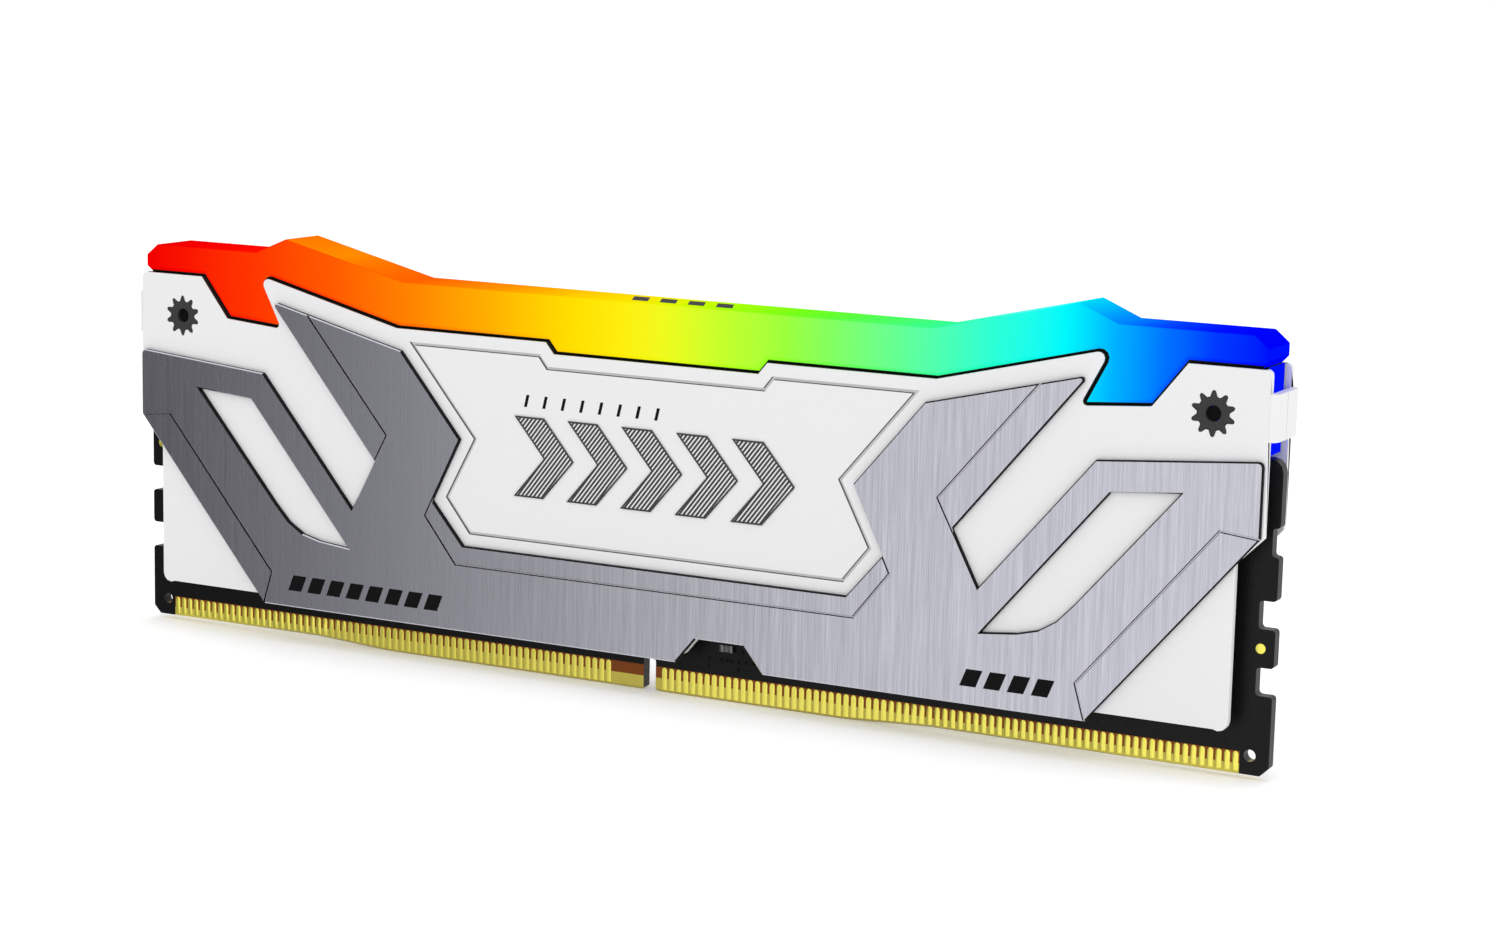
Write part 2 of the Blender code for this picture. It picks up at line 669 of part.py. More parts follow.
def make_heat_spreaders():
    near, far = CAVITY_HALF_DEPTH, SPREADER_FACE
    seam = {-1: END_TAB_SEAM_Y - END_TAB_SEAM_GAP / 2, 1: END_TAB_SEAM_Y + END_TAB_SEAM_GAP / 2}
    for side_name, side in SIDES:
        y_low, y_high = facing(side, near, far)
        flat = flat_piece(f"heat_spreader_{side_name}", spreader_outline(), y_low, y_high, WHITE_PAINT)
        for end_name, end in ENDS:
            name = f"end_tab_{side_name}_{end_name}"
            boolean(flat, end_tab(name, tab_section(side, side * seam[side]), end), "UNION")
            star = moved(star_outline(STAR_CLEARANCE), end * STAR_X, STAR_Z)
            cut_through(flat, f"star_hole_{side_name}_{end_name}", star, near, far, side)
        cut_through(flat, f"spreader_window_{side_name}", window_outline(), near, far, side)


def cut_through(target, name, outline, near, far, side):
    """Cuts an outline out of a layer, with a cutter that passes both of its faces."""
    y_low, y_high = facing(side, near - CUTTER_REACH, far + CUTTER_REACH)
    boolean(target, flat_piece(name, outline, y_low, y_high, home=cutters), "DIFFERENCE")


def drill(target, name, x, z, diameter, half_depth):
    """Drills a hole along Y through a piece that lies about the middle plane."""
    reach = half_depth + CUTTER_REACH
    boolean(target, rod(name, x, z, -reach, reach, diameter, None, cutters), "DIFFERENCE")


def make_accent_plates():
    near, far = ACCENT_BACK, ACCENT_BACK + ACCENT_THICKNESS
    for side_name, side in SIDES:
        y_low, y_high = facing(side, near, far)
        plate = flat_piece(f"accent_plate_{side_name}", accent_outline(), y_low, y_high, BRUSHED_METAL)
        for end_name, end in ENDS:
            cut_through(plate, f"slot_{side_name}_{end_name}", accent_slot(end), near, far, side)
        cut_through(plate, f"accent_window_{side_name}", window_outline(), near, far, side)


def make_star_inserts():
    near, far = CAVITY_HALF_DEPTH, SPREADER_FACE - STAR_RECESS
    for side_name, side in SIDES:
        for end_name, end in ENDS:
            y_low, y_high = facing(side, near, far)
            placed = moved(star_outline(), end * STAR_X, STAR_Z)
            star = flat_piece(f"star_insert_{side_name}_{end_name}", placed, y_low, y_high, STAR_GREY)
            hole = moved(circle(STAR_HOLE_DIAMETER / 2), end * STAR_X, STAR_Z)
            cut_through(star, f"star_recess_{side_name}_{end_name}", hole, near, far, side)


def make_pins():
    reach = SPREADER_FACE - PIN_RECESS
    for end_name, end in ENDS:
        rod(f"through_pin_{end_name}", end * STAR_X, STAR_Z, -reach, reach, PIN_DIAMETER, STEEL)


make_circuit_board()
make_contacts()
make_memory_chips()
make_power_parts()
make_logic_parts()
make_thermal_pads()
make_leds()
make_light_bar()
make_heat_spreaders()
make_accent_plates()
make_star_inserts()
make_pins()
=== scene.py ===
"""Looks for the desktop memory module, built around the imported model.

Sizes are in millimetres unless a name says otherwise, and become metres where a mesh is made.
X runs along the module, the front faces -Y, and Z is up from the contact edge.
"""

import math

import bmesh
import bpy
from mathutils import Matrix, Vector


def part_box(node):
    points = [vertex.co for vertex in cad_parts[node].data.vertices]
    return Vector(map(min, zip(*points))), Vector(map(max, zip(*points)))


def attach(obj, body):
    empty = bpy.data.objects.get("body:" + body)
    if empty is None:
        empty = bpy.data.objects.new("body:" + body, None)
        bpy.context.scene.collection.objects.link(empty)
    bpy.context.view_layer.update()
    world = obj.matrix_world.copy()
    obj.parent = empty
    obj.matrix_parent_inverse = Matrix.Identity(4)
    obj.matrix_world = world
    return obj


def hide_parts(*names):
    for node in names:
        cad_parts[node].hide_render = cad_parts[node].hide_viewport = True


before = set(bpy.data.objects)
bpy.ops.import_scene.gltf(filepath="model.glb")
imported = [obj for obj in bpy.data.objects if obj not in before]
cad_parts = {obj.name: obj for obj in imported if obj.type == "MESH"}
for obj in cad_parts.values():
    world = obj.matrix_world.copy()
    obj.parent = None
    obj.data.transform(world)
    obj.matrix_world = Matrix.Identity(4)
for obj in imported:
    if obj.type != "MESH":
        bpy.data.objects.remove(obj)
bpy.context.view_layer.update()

MM = 0.001
FRONT, BACK = -1, 1
SIDES = (("front", FRONT), ("back", BACK))


# ---------------------------------------------------------------- places read from the frame


def box_mm(node):
    """Lowest and highest corner of a CAD node, in millimetres."""
    return [[c / MM for c in corner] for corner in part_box(node)]


BOARD_HIGH = box_mm("circuit_board")[1]
BOARD_FACE = BOARD_HIGH[1]
BOARD_END = BOARD_HIGH[0]
BOARD_TOP = BOARD_HIGH[2]
SPREADER_FACE = -box_mm("heat_spreader_front")[0][1]
SPREADER_BOTTOM = box_mm("heat_spreader_front")[0][2]
PLATE_FACE = -box_mm("accent_plate_front")[0][1]
BAR_FACE = box_mm("light_bar")[1][1]
BAR_END = box_mm("light_bar")[1][0]
BAR_FLAT_RISE = 9.95
BAR_FLAT_TOP = BOARD_TOP + BAR_FLAT_RISE

CONTACT_PITCH = 0.85
CONTACT_WIDTH = 0.6
# each row's name, how many pitches it starts after the first contact, and how many contacts it has
CONTACT_ROWS = (("left", 0, 68), ("right", 75, 75))
CONTACT_FACE = -box_mm("contacts_front_left")[0][1]
CONTACT_TOP = box_mm("contacts_front_left")[1][2]
FIRST_CONTACT = box_mm("contacts_front_left")[0][0] + CONTACT_WIDTH / 2

# the contact edge, whose ends stand higher than its middle
EDGE_STEP = 0.5
EDGE_RAMPS = ((-44.0, -34.5), (21.3, 31.1))

# engraved lines of the accent plates, right half, each from one edge of the plate to another
LEG_LINE = [(42.9, 36.7), (32.6, 24.6), (34.2, 21.6)]
FOOT_LINE = [(65.6, 24.0), (61.8, 24.4), (47.8, 7.9), (48.9, 4.25)]
BAND_LINE = [(26.75, 18.1), (27.6, 16.4), (23.7, 11.5)]
# outline of the engraved panel in the middle of a heat spreader, right half, from its bottom to its top
PANEL_LINE = [(22.2, 15.0), (25.1, 18.6), (21.6, 25.2), (29.7, 34.75), (13.8, 34.75), (12.8, 33.5)]


# ---------------------------------------------------------------- colours


def srgb(red, green, blue):
    """A colour given as 0 to 255, as linear light."""
    def linear(value):
        share = value / 255
        return share / 12.92 if share <= 0.04045 else ((share + 0.055) / 1.055) ** 2.4
    return (linear(red), linear(green), linear(blue), 1.0)


# colour of the light bar by place along the module
LIGHT_RUN = (
    (-65.5, (240, 0, 0)), (-60, (250, 20, 0)), (-50, (255, 56, 0)), (-40, (255, 91, 0)),
    (-30, (255, 131, 0)), (-20, (255, 176, 0)), (-10, (255, 222, 0)), (-4, (254, 238, 14)),
    (1, (238, 250, 30)), (8, (195, 255, 44)), (15, (155, 255, 61)), (20, (131, 255, 95)),
    (27, (102, 255, 145)), (33, (72, 255, 182)), (38, (42, 255, 215)), (45, (0, 248, 251)),
    (50, (0, 179, 254)), (55, (0, 117, 255)), (60, (0, 59, 255)), (65.5, (0, 18, 250)),
)


# ---------------------------------------------------------------- node helpers


class Graph:
    """Adds nodes to a node tree and links what each one reads."""

    def __init__(self, tree):
        self.tree = tree

    def add(self, kind, settings=None, **inputs):
        node = self.tree.nodes.new("ShaderNode" + kind)
        for name, value in (settings or {}).items():
            setattr(node, name, value)
        for name, value in inputs.items():
            self.feed(node, name.replace("_", " "), value)
        return node

    def feed(self, node, name, value):
        socket = node.inputs[int(name)] if name.isdigit() else node.inputs[name]
        if isinstance(value, bpy.types.NodeSocket):
            self.tree.links.new(value, socket)
        else:
            socket.default_value = value

    def math(self, operation, *values, clamp=False):
        node = self.add("Math", {"operation": operation, "use_clamp": clamp})
        for i, value in enumerate(values):
            self.feed(node, str(i), value)
        return node.outputs[0]

    def mix(self, factor, first, second):
        node = self.add("Mix", {"data_type": "RGBA"})
        for index, value in ((0, factor), (6, first), (7, second)):
            self.feed(node, str(index), value)
        return node.outputs[2]

    def group(self, tree, **inputs):
        node = self.tree.nodes.new("ShaderNodeGroup")
        node.node_tree = tree
        for name, value in inputs.items():
            self.feed(node, name.replace("_", " "), value)
        return node


def new_group(name, inputs, outputs):
    """An empty shader node group with its sockets; returns its graph, its input and its output node."""
    tree = bpy.data.node_groups.new(name, "ShaderNodeTree")
    for label, kind, value in inputs:
        socket = tree.interface.new_socket(label, in_out="INPUT", socket_type="NodeSocket" + kind)
        socket.default_value = value
    for label, kind in outputs:
        tree.interface.new_socket(label, in_out="OUTPUT", socket_type="NodeSocket" + kind)
    return Graph(tree), tree.nodes.new("NodeGroupInput"), tree.nodes.new("NodeGroupOutput")


def fine_grain():
    """Even speckle: a shade that wanders about the middle, and the normal of its relief."""
    graph, given, out = new_group(
        "fine_grain",
        [("Size", "Float", 0.3), ("Relief", "Float", 0.01), ("Contrast", "Float", 0.5)],
        [("Shade", "Float"), ("Normal", "Vector")],
    )
    place = graph.add("TexCoord").outputs["Object"]
    scale = graph.math("DIVIDE", 1 / MM, given.outputs["Size"])
    noise = graph.add("TexNoise", Vector=place, Scale=scale, Detail=3.0, Roughness=0.6).outputs["Fac"]
    away = graph.math("MULTIPLY", graph.math("SUBTRACT", noise, 0.5), given.outputs["Contrast"])
    shade = graph.math("ADD", away, 0.5, clamp=True)
    height = graph.math("MULTIPLY", noise, given.outputs["Relief"])
    bump = graph.add("Bump", Height=height, Distance=MM, Strength=1.0)
    graph.tree.links.new(shade, out.inputs["Shade"])
    graph.tree.links.new(bump.outputs["Normal"], out.inputs["Normal"])
    return graph.tree


def brushing():
    """Fine upright scratches: long thin noise, as a shade and as a normal."""
    graph, given, out = new_group(
        "brushing",
        [("Width", "Float", 0.12), ("Length", "Float", 9.0), ("Relief", "Float", 0.004)],
        [("Shade", "Float"), ("Normal", "Vector")],
    )
    place = graph.add("TexCoord").outputs["Object"]
    across = graph.math("DIVIDE", 1 / MM, given.outputs["Width"])
    along = graph.math("DIVIDE", 1 / MM, given.outputs["Length"])
    stretch = graph.add("CombineXYZ", X=across, Y=across, Z=along).outputs[0]
    drawn = graph.add("VectorMath", {"operation": "MULTIPLY"}, **{"0": place, "1": stretch}).outputs[0]
    fine = graph.add("TexNoise", Vector=drawn, Scale=1.0, Detail=4.0, Roughness=0.65).outputs["Fac"]
    broad = graph.add("TexNoise", Vector=drawn, Scale=0.23, Detail=2.0, Roughness=0.5).outputs["Fac"]
    both = graph.math("ADD", graph.math("MULTIPLY", fine, 0.7), graph.math("MULTIPLY", broad, 0.3))
    shade = graph.add("MapRange", Value=both, From_Min=0.32, From_Max=0.68).outputs[0]
    height = graph.math("MULTIPLY", both, given.outputs["Relief"])
    bump = graph.add("Bump", Height=height, Distance=MM, Strength=1.0)
    graph.tree.links.new(shade, out.inputs["Shade"])
    graph.tree.links.new(bump.outputs["Normal"], out.inputs["Normal"])
    return graph.tree


GRAIN = fine_grain()
BRUSHING = brushing()


# ---------------------------------------------------------------- materials


def new_material(name, roughness, metallic=0.0, **constants):
    """A material with its Principled shader; constants are set on the shader's own sockets."""
    made = bpy.data.materials.new(name)
    made.use_nodes = True
    shader = made.node_tree.nodes["Principled BSDF"]
    shader.inputs["Roughness"].default_value = roughness
    shader.inputs["Metallic"].default_value = metallic
    for label, value in constants.items():
        shader.inputs[label.replace("_", " ")].default_value = value
    return made, Graph(made.node_tree), shader


# how far a grained finish strays from its roughness, either way
GLOSS_SPREAD = 0.06


def grained(name, dark, light, roughness, metallic=0.0, size=0.3, relief=0.01, contrast=1.0, **constants):
    """A plain finish between two close colours, with grain in its colour, its gloss and its relief."""
    made, graph, shader = new_material(name, roughness, metallic, **constants)
    grain = graph.group(GRAIN, Size=size, Relief=relief, Contrast=contrast)
    shade = grain.outputs["Shade"]
    graph.feed(shader, "Base Color", graph.mix(shade, dark, light))
    dull, glossy = roughness + GLOSS_SPREAD, roughness - GLOSS_SPREAD
    gloss = graph.add("MapRange", Value=shade, To_Min=dull, To_Max=glossy)
    graph.feed(shader, "Roughness", gloss.outputs[0])
    graph.feed(shader, "Normal", grain.outputs["Normal"])
    return made


def brushed_aluminium():
    """Bare metal with upright scratches, and no two streaks of quite the same gloss."""
    made, graph, shader = new_material("brushed_aluminium", 0.25, 1.0)
    lines = graph.group(BRUSHING, Width=0.11, Length=7.0, Relief=0.0025)
    shade = lines.outputs["Shade"]
    graph.feed(shader, "Base Color", graph.mix(shade, srgb(188, 188, 198), srgb(218, 218, 229)))
    gloss = graph.add("MapRange", Value=shade, To_Min=0.3, To_Max=0.2)
    graph.feed(shader, "Roughness", gloss.outputs[0])
    graph.feed(shader, "Normal", lines.outputs["Normal"])
    return made


# painted shade and highlight in the glow of the bar: how much deeper its level faces are painted, and how
# much paler the slopes that face the middle
LEVEL_SHADE_DEEPENING = 0.7
INWARD_LIMIT = 0.15
INWARD_HIGHLIGHT_PALING = 7.4
GLOW_IN_BASE = 0.01


def lit_diffuser():
    """Frosted plastic that glows in a run of colours along the module, with shade and highlight painted into
    the glow by the way each face points.
    """
    made, graph, shader = new_material("lit_diffuser", 0.35, Emission_Strength=1.0, Specular_IOR_Level=0.0)
    place = graph.add("TexCoord").outputs["Object"]
    along = graph.add("SeparateXYZ", Vector=place).outputs["X"]
    normal = graph.add("SeparateXYZ", Vector=graph.add("NewGeometry").outputs["Normal"])
    level = graph.math("ABSOLUTE", normal.outputs["Z"])
    outward = graph.math("MULTIPLY", normal.outputs["X"], graph.math("SIGN", along))
    inward = graph.math("MAXIMUM", graph.math("MULTIPLY", outward, -1.0), 0.0)
    inward = graph.math("MINIMUM", inward, INWARD_LIMIT)
    # painted highlight on the slopes that face the middle, and painted shade on the level faces
    painted_highlight = graph.math("MULTIPLY", graph.math("MULTIPLY", inward, level), INWARD_HIGHLIGHT_PALING)
    depth = graph.math("SUBTRACT", graph.math("MULTIPLY_ADD", level, LEVEL_SHADE_DEEPENING, 1.0), painted_highlight)
    span = 2 * BAR_END * MM
    share = graph.add("MapRange", Value=along, From_Min=-span / 2, From_Max=span / 2)
    ramp = graph.add("ValToRGB", Fac=share.outputs[0])
    stops = ramp.color_ramp.elements
    while len(stops) < len(LIGHT_RUN):
        stops.new(0.5)
    for stop, (x, colour) in zip(stops, LIGHT_RUN):
        stop.position = (x / BAR_END + 1) / 2
        stop.color = srgb(*colour)
    grain = graph.group(GRAIN, Size=0.5, Relief=0.002, Contrast=0.3)
    glow = graph.add("Gamma", Color=ramp.outputs["Color"], Gamma=depth).outputs[0]
    graph.feed(shader, "Base Color", graph.mix(GLOW_IN_BASE, (0.0, 0.0, 0.0, 1), glow))
    graph.feed(shader, "Emission Color", glow)
    graph.feed(shader, "Normal", grain.outputs["Normal"])
    return made


# where the board is bare: past the first contact, above the contacts, and where its two colours meet
BARE_PAST_ROW = 0.4
BARE_ABOVE_ROW = 0.03
BARE_SPLIT = 1.5
TILTED = 0.3


def board_mask():
    """Black solder mask, with the bare strip between the contacts, the ground edge and the sawn ends."""
    made, graph, shader = new_material("board_mask", 0.38, Specular_IOR_Level=0.2)
    place = graph.add("SeparateXYZ", Vector=graph.add("TexCoord").outputs["Object"])
    normal = graph.add("SeparateXYZ", Vector=graph.add("NewGeometry").outputs["Normal"])
    x, z = place.outputs["X"], place.outputs["Z"]
    facing = [graph.math("ABSOLUTE", normal.outputs[axis]) for axis in "XYZ"]
    grain = graph.group(GRAIN, Size=0.35, Relief=0.012, Contrast=1.0)
    shade = grain.outputs["Shade"]
    mask = graph.mix(shade, srgb(6, 6, 7), srgb(18, 18, 19))
    in_rows = graph.math("LESS_THAN", graph.math("ABSOLUTE", x), (BARE_PAST_ROW - FIRST_CONTACT) * MM)
    low = graph.math("LESS_THAN", z, (CONTACT_TOP + BARE_ABOVE_ROW) * MM)
    strip = graph.math("MULTIPLY", in_rows, low)
    lower_half = graph.math("LESS_THAN", z, BARE_SPLIT * MM)
    bare = graph.mix(lower_half, srgb(132, 66, 10), srgb(204, 190, 84))
    on_face = graph.mix(strip, mask, bare)
    ground = graph.math("MULTIPLY", graph.math("GREATER_THAN", facing[2], TILTED), low)
    on_edge = graph.mix(ground, on_face, srgb(172, 156, 64))
    sawn = graph.math("GREATER_THAN", facing[0], TILTED)
    graph.feed(shader, "Base Color", graph.mix(sawn, on_edge, srgb(30, 20, 8)))
    graph.feed(shader, "Normal", grain.outputs["Normal"])
    return made


MASK_BLACK = board_mask()
BRUSHED = brushed_aluminium()
DIFFUSER = lit_diffuser()

DULL = {"Specular_IOR_Level": 0.1}
WHITE_PAINT = grained(
    "spreader_paint", srgb(227, 227, 228), srgb(233, 233, 234), 0.5, size=0.22, relief=0.006
)
# painted shade in the spreader's engraved line: dark grey for its walls that face up or right, light grey for
# the others
GROOVE_SHADE = grained("groove_shadow", srgb(88, 88, 90), srgb(108, 108, 110), 0.7, size=0.2, **DULL)
GROOVE_HALF_SHADE = grained("painted_groove_half_shade", srgb(204, 204, 205), srgb(214, 214, 215), 0.6, size=0.2)
# painted shade: near-black for the walls of the plates and of their engraved lines that face away from the
# light
WALL_SHADE = grained("painted_wall_shade", srgb(6, 6, 7), srgb(14, 14, 16), 0.5, size=0.15, **DULL)
CUT_SLOPE = grained("bright_cut_edge", srgb(190, 190, 198), srgb(216, 216, 224), 0.3, 1.0, size=0.15)
# painted shade of the narrow gap between the bar and the spreaders: on the bar's lip, lower walls and web,
# and on the spreader walls under it
GAP_SHADE = grained("painted_gap_shade", srgb(30, 34, 28), srgb(44, 48, 40), 0.7, size=0.2, **DULL)
GOLD = grained(
    "contact_gold", srgb(255, 240, 96), srgb(255, 248, 116), 0.22, 0.6, relief=0.0, contrast=0.5
)
STAR_GREY = grained(
    "dark_insert", srgb(46, 46, 46), srgb(60, 60, 60), 0.55, size=0.18, Specular_IOR_Level=0.25
)
PIN_BLACK = grained("blackened_steel", srgb(6, 6, 6), srgb(14, 14, 14), 0.6, size=0.2, **DULL)
CHIP_BLACK = grained("chip_moulding", srgb(22, 22, 23), srgb(34, 34, 35), 0.6, size=0.12)
PAD_GREY = grained("thermal_pad", srgb(120, 124, 132), srgb(142, 146, 154), 0.85, size=0.4, relief=0.03)
FERRITE = grained("inductor_ferrite", srgb(66, 66, 68), srgb(84, 84, 86), 0.65, size=0.15, relief=0.02)
CERAMIC = grained("capacitor_ceramic", srgb(84, 84, 84), srgb(102, 102, 102), 0.5, size=0.1)
TIN = grained("tinned_end", srgb(120, 120, 120), srgb(146, 146, 146), 0.35, 1.0, size=0.1)
LED_CREAM = grained("led_package", srgb(226, 222, 206), srgb(240, 237, 224), 0.35, size=0.1)
PRINT_BLACK = grained("black_print", srgb(8, 8, 9), srgb(18, 18, 19), 0.6, size=0.12, **DULL)
# printed hatching, and the painted shade at the arrowheads' raised edges
PRINT_AND_EDGE_SHADE_GREY = grained(
    "grey_print_and_edge_shade", srgb(54, 54, 56), srgb(70, 70, 72), 0.5, size=0.12, Specular_IOR_Level=0.2
)


# ---------------------------------------------------------------- mesh helpers


SHARP_TURN = 25
FLAT_TURN = 0.5
MERGE_DISTANCE = 0.001
ON_LEVEL = 0.002
SAME_PLACE = 0.01
GROOVE_OVERSHOOT = 0.1
# in a groove, a wall's turn to the right counts this much more than its turn upwards
RIGHT_WEIGHT = 1.2


def new_piece(name, shape, *finishes, slot, replaced=()):
    """Turns a bmesh in millimetres into a piece that rides on the module."""
    bmesh.ops.recalc_face_normals(shape, faces=shape.faces)
    mesh = bpy.data.meshes.new(name)
    shape.to_mesh(mesh)
    shape.free()
    mesh.transform(Matrix.Scale(MM, 4))
    piece = bpy.data.objects.new(name, mesh)
    bpy.context.scene.collection.objects.link(piece)
    for finish in finishes:
        mesh.materials.append(finish)
    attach(piece, "root")
    if replaced:
        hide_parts(*replaced)
    return piece


def smooth_edges(piece, angle=40):
    """Smooth shading that leaves the flat faces flat."""
    piece.data.shade_smooth()
    piece.data.set_sharp_from_angle(angle=math.radians(angle))
    piece.modifiers.new("flat_faces", "WEIGHTED_NORMAL").keep_sharp = True


def cad_shape(node):
    """A bmesh in millimetres with a CAD node's shape, its flat faces joined."""
    shape = bmesh.new()
    shape.from_mesh(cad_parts[node].data)
    bmesh.ops.scale(shape, vec=(1 / MM,) * 3, verts=shape.verts)
    bmesh.ops.remove_doubles(shape, verts=shape.verts, dist=MERGE_DISTANCE)
    flat = math.radians(FLAT_TURN)
    bmesh.ops.dissolve_limit(shape, angle_limit=flat, verts=shape.verts, edges=shape.edges)
    shape.normal_update()
    return shape


def bevel(shape, edges, width, segments=2):
    bmesh.ops.bevel(shape, geom=edges, offset=width, segments=segments, profile=0.5, affect="EDGES")
    shape.normal_update()


def sharp_edges(shape, wanted):
    """Edges that turn by more than SHARP_TURN degrees, and that the wanted test accepts."""
    least = math.radians(SHARP_TURN)
    return [e for e in shape.edges if e.is_manifold and e.calc_face_angle() > least and wanted(e)]


def rim_of(level):
    """A test for edges that lie in one of the two planes at that distance from the middle plane."""
    return lambda edge: all(abs(abs(v.co.y) - level) < ON_LEVEL for v in edge.verts)


def add_skin(shape, rings, closed=False):
    """Adds the faces between each ring of vertices and the next, with caps unless the rings close up."""
    following = rings[1:] + rings[:1] if closed else rings[1:]
    for ring, after in zip(rings, following):
        for j in range(len(ring)):
            k = (j + 1) % len(ring)
            shape.faces.new((ring[j], ring[k], after[k], after[j]))
    if not closed:
        shape.faces.new(rings[0])
        shape.faces.new(rings[-1][::-1])


def swept(path, section, y, side, closed=False):
    """A bmesh that runs a section along a path in the plane of a face, with mitred corners.

    The section is a list of (across, outward) points, with outward measured from the face.
    """
    points = [Vector(p) for p in path]
    count = len(points)
    shape = bmesh.new()
    rings = []
    for i, point in enumerate(points):
        before = points[i - 1] if closed or i else None
        after = points[(i + 1) % count] if closed or i < count - 1 else None
        turns = [(b - a).normalized() for a, b in ((before, point), (point, after)) if a and b]
        normals = [Vector((d.y, -d.x)) for d in turns]
        mitre = sum(normals, Vector((0, 0)))
        mitre *= 1 / mitre.dot(normals[0])
        rings.append([
            shape.verts.new((point.x + mitre.x * across, side * (y + outward), point.y + mitre.y * across))
            for across, outward in section
        ])
    add_skin(shape, rings, closed)
    return shape


def stretched(path, more):
    """The open path with both of its ends carried on by a length."""
    points = [Vector(p) for p in path]
    points[0] += (points[0] - points[1]).normalized() * more
    points[-1] += (points[-1] - points[-2]).normalized() * more
    return [tuple(p) for p in points]


def mirrored(path):
    return [(-x, z) for x, z in path]


def faces_up_or_right(normal, side):
    """Whether a wall faces up, or to the right as seen from in front of its own side."""
    return -side * normal.x * RIGHT_WEIGHT + normal.z > 0


def groove_section(width, floor, depth):
    """A flat-bottomed channel: its width at the face and at its floor, carried on past the face."""
    top = GROOVE_OVERSHOOT
    outer = width / 2 + (width - floor) / 2 * top / depth
    return [(-outer, top), (-floor / 2, -depth), (floor / 2, -depth), (outer, top)]


def engrave(piece, name, cutter_shape, side, dark, pale):
    """Cuts a groove into a piece: the walls that face up or right take the dark finish of painted shade, the
    others the pale finish.
    """
    bmesh.ops.recalc_face_normals(cutter_shape, faces=cutter_shape.faces)
    for face in cutter_shape.faces:
        face.material_index = 0 if faces_up_or_right(-face.normal, side) else 1
    mesh = bpy.data.meshes.new(name)
    cutter_shape.to_mesh(mesh)
    cutter_shape.free()
    mesh.transform(Matrix.Scale(MM, 4))
    mesh.materials.append(dark)
    mesh.materials.append(pale)
    cutter = bpy.data.objects.new(name, mesh)
    bpy.context.scene.collection.objects.link(cutter)
    cut = piece.modifiers.new(name, "BOOLEAN")
    cut.operation = "DIFFERENCE"
    cut.solver = "EXACT"
    cut.material_mode = "TRANSFER"
    cut.object = cutter
    graph = bpy.context.evaluated_depsgraph_get()
    cut_mesh = bpy.data.meshes.new_from_object(piece.evaluated_get(graph))
    piece.modifiers.clear()
    piece.data = cut_mesh
    bpy.data.objects.remove(cutter, do_unlink=True)


def plate(outline, y_near, y_far, side, edge=0.0):
    """A flat bmesh from an outline, between two distances from the middle plane, its outer rim eased."""
    shape = bmesh.new()
    near = [shape.verts.new((x, side * y_near, z)) for x, z in outline]
    far = [shape.verts.new((x, side * y_far, z)) for x, z in outline]
    shape.faces.new(near)
    shape.faces.new(far[::-1])
    for i in range(len(outline)):
        j = (i + 1) % len(outline)
        shape.faces.new((near[i], far[i], far[j], near[j]))
    bmesh.ops.recalc_face_normals(shape, faces=shape.faces)
    if edge:
        bevel(shape, sharp_edges(shape, rim_of(y_far)), edge, 1)
    return shape


def join(shapes):
    """One bmesh from several."""
    whole = bmesh.new()
    for shape in shapes:
        mesh = bpy.data.meshes.new("joined")
        shape.to_mesh(mesh)
        shape.free()
        whole.from_mesh(mesh)
        bpy.data.meshes.remove(mesh)
    return whole


def arc(centre, radius, start, end, steps):
    angles = [math.radians(start + (end - start) * i / steps) for i in range(steps + 1)]
    return [(centre[0] + radius * math.cos(a), centre[1] + radius * math.sin(a)) for a in angles]


# ---------------------------------------------------------------- heat spreaders


SPREADER_RIM = 0.09
# an engraved line's width at the face, its width at its floor and its depth
PANEL_GROOVE = (0.36, 0.2, 0.2)
# the walls that the bar stands over, which carry the painted shade of the gap, start this far above the board
# and end this far from the bar's ends
UNDER_BAR_RISE = 2
UNDER_BAR_INSET = 0.3
# the depth in its normal up to which a face of a spreader is one of its walls
SPREADER_WALL = 0.1


def make_heat_spreaders():
    """White painted sheets with an eased rim, the engraved panel, and painted shade on the walls under the
    bar.
    """
    panel = PANEL_LINE + list(reversed(mirrored(PANEL_LINE)))
    for side_name, side in SIDES:
        node = f"heat_spreader_{side_name}"
        shape = cad_shape(node)
        bevel(shape, sharp_edges(shape, rim_of(SPREADER_FACE)), SPREADER_RIM)
        for face in shape.faces:
            place = face.calc_center_median()
            # painted shade: the walls under the bar take the dark of the gap
            under_bar = place.z > BOARD_TOP + UNDER_BAR_RISE and abs(place.x) < BAR_END - UNDER_BAR_INSET
            face.material_index = 1 if under_bar and abs(face.normal.y) < SPREADER_WALL else 0
        name = f"painted_spreader_{side_name}"
        piece = new_piece(name, shape, WHITE_PAINT, GAP_SHADE, slot="white_paint", replaced=[node])
        line = swept(panel, groove_section(*PANEL_GROOVE), SPREADER_FACE, side, closed=True)
        engrave(piece, f"panel_groove_{side_name}", line, side, GROOVE_SHADE, GROOVE_HALF_SHADE)
        smooth_edges(piece)


# ---------------------------------------------------------------- accent plates


PLATE_RIM = 0.12
PLATE_GROOVE = (0.26, 0.12, 0.16)
LINE_OVERSHOOT = 0.3
# the rim's upper slopes carry painted shade from here to the right, seen from in front, and are bright metal
# to the left of it
SHADED_TOP_FROM = -30
# the depth in its normal from which a face of a plate is broad, and the depths between which it is the
# rim's slope; a slope faces up or right when its normal goes that way further than PLATE_LEAN
PLATE_BROAD = 0.5
PLATE_SLOPE = (0.2, 0.9)
PLATE_LEAN = 0.2


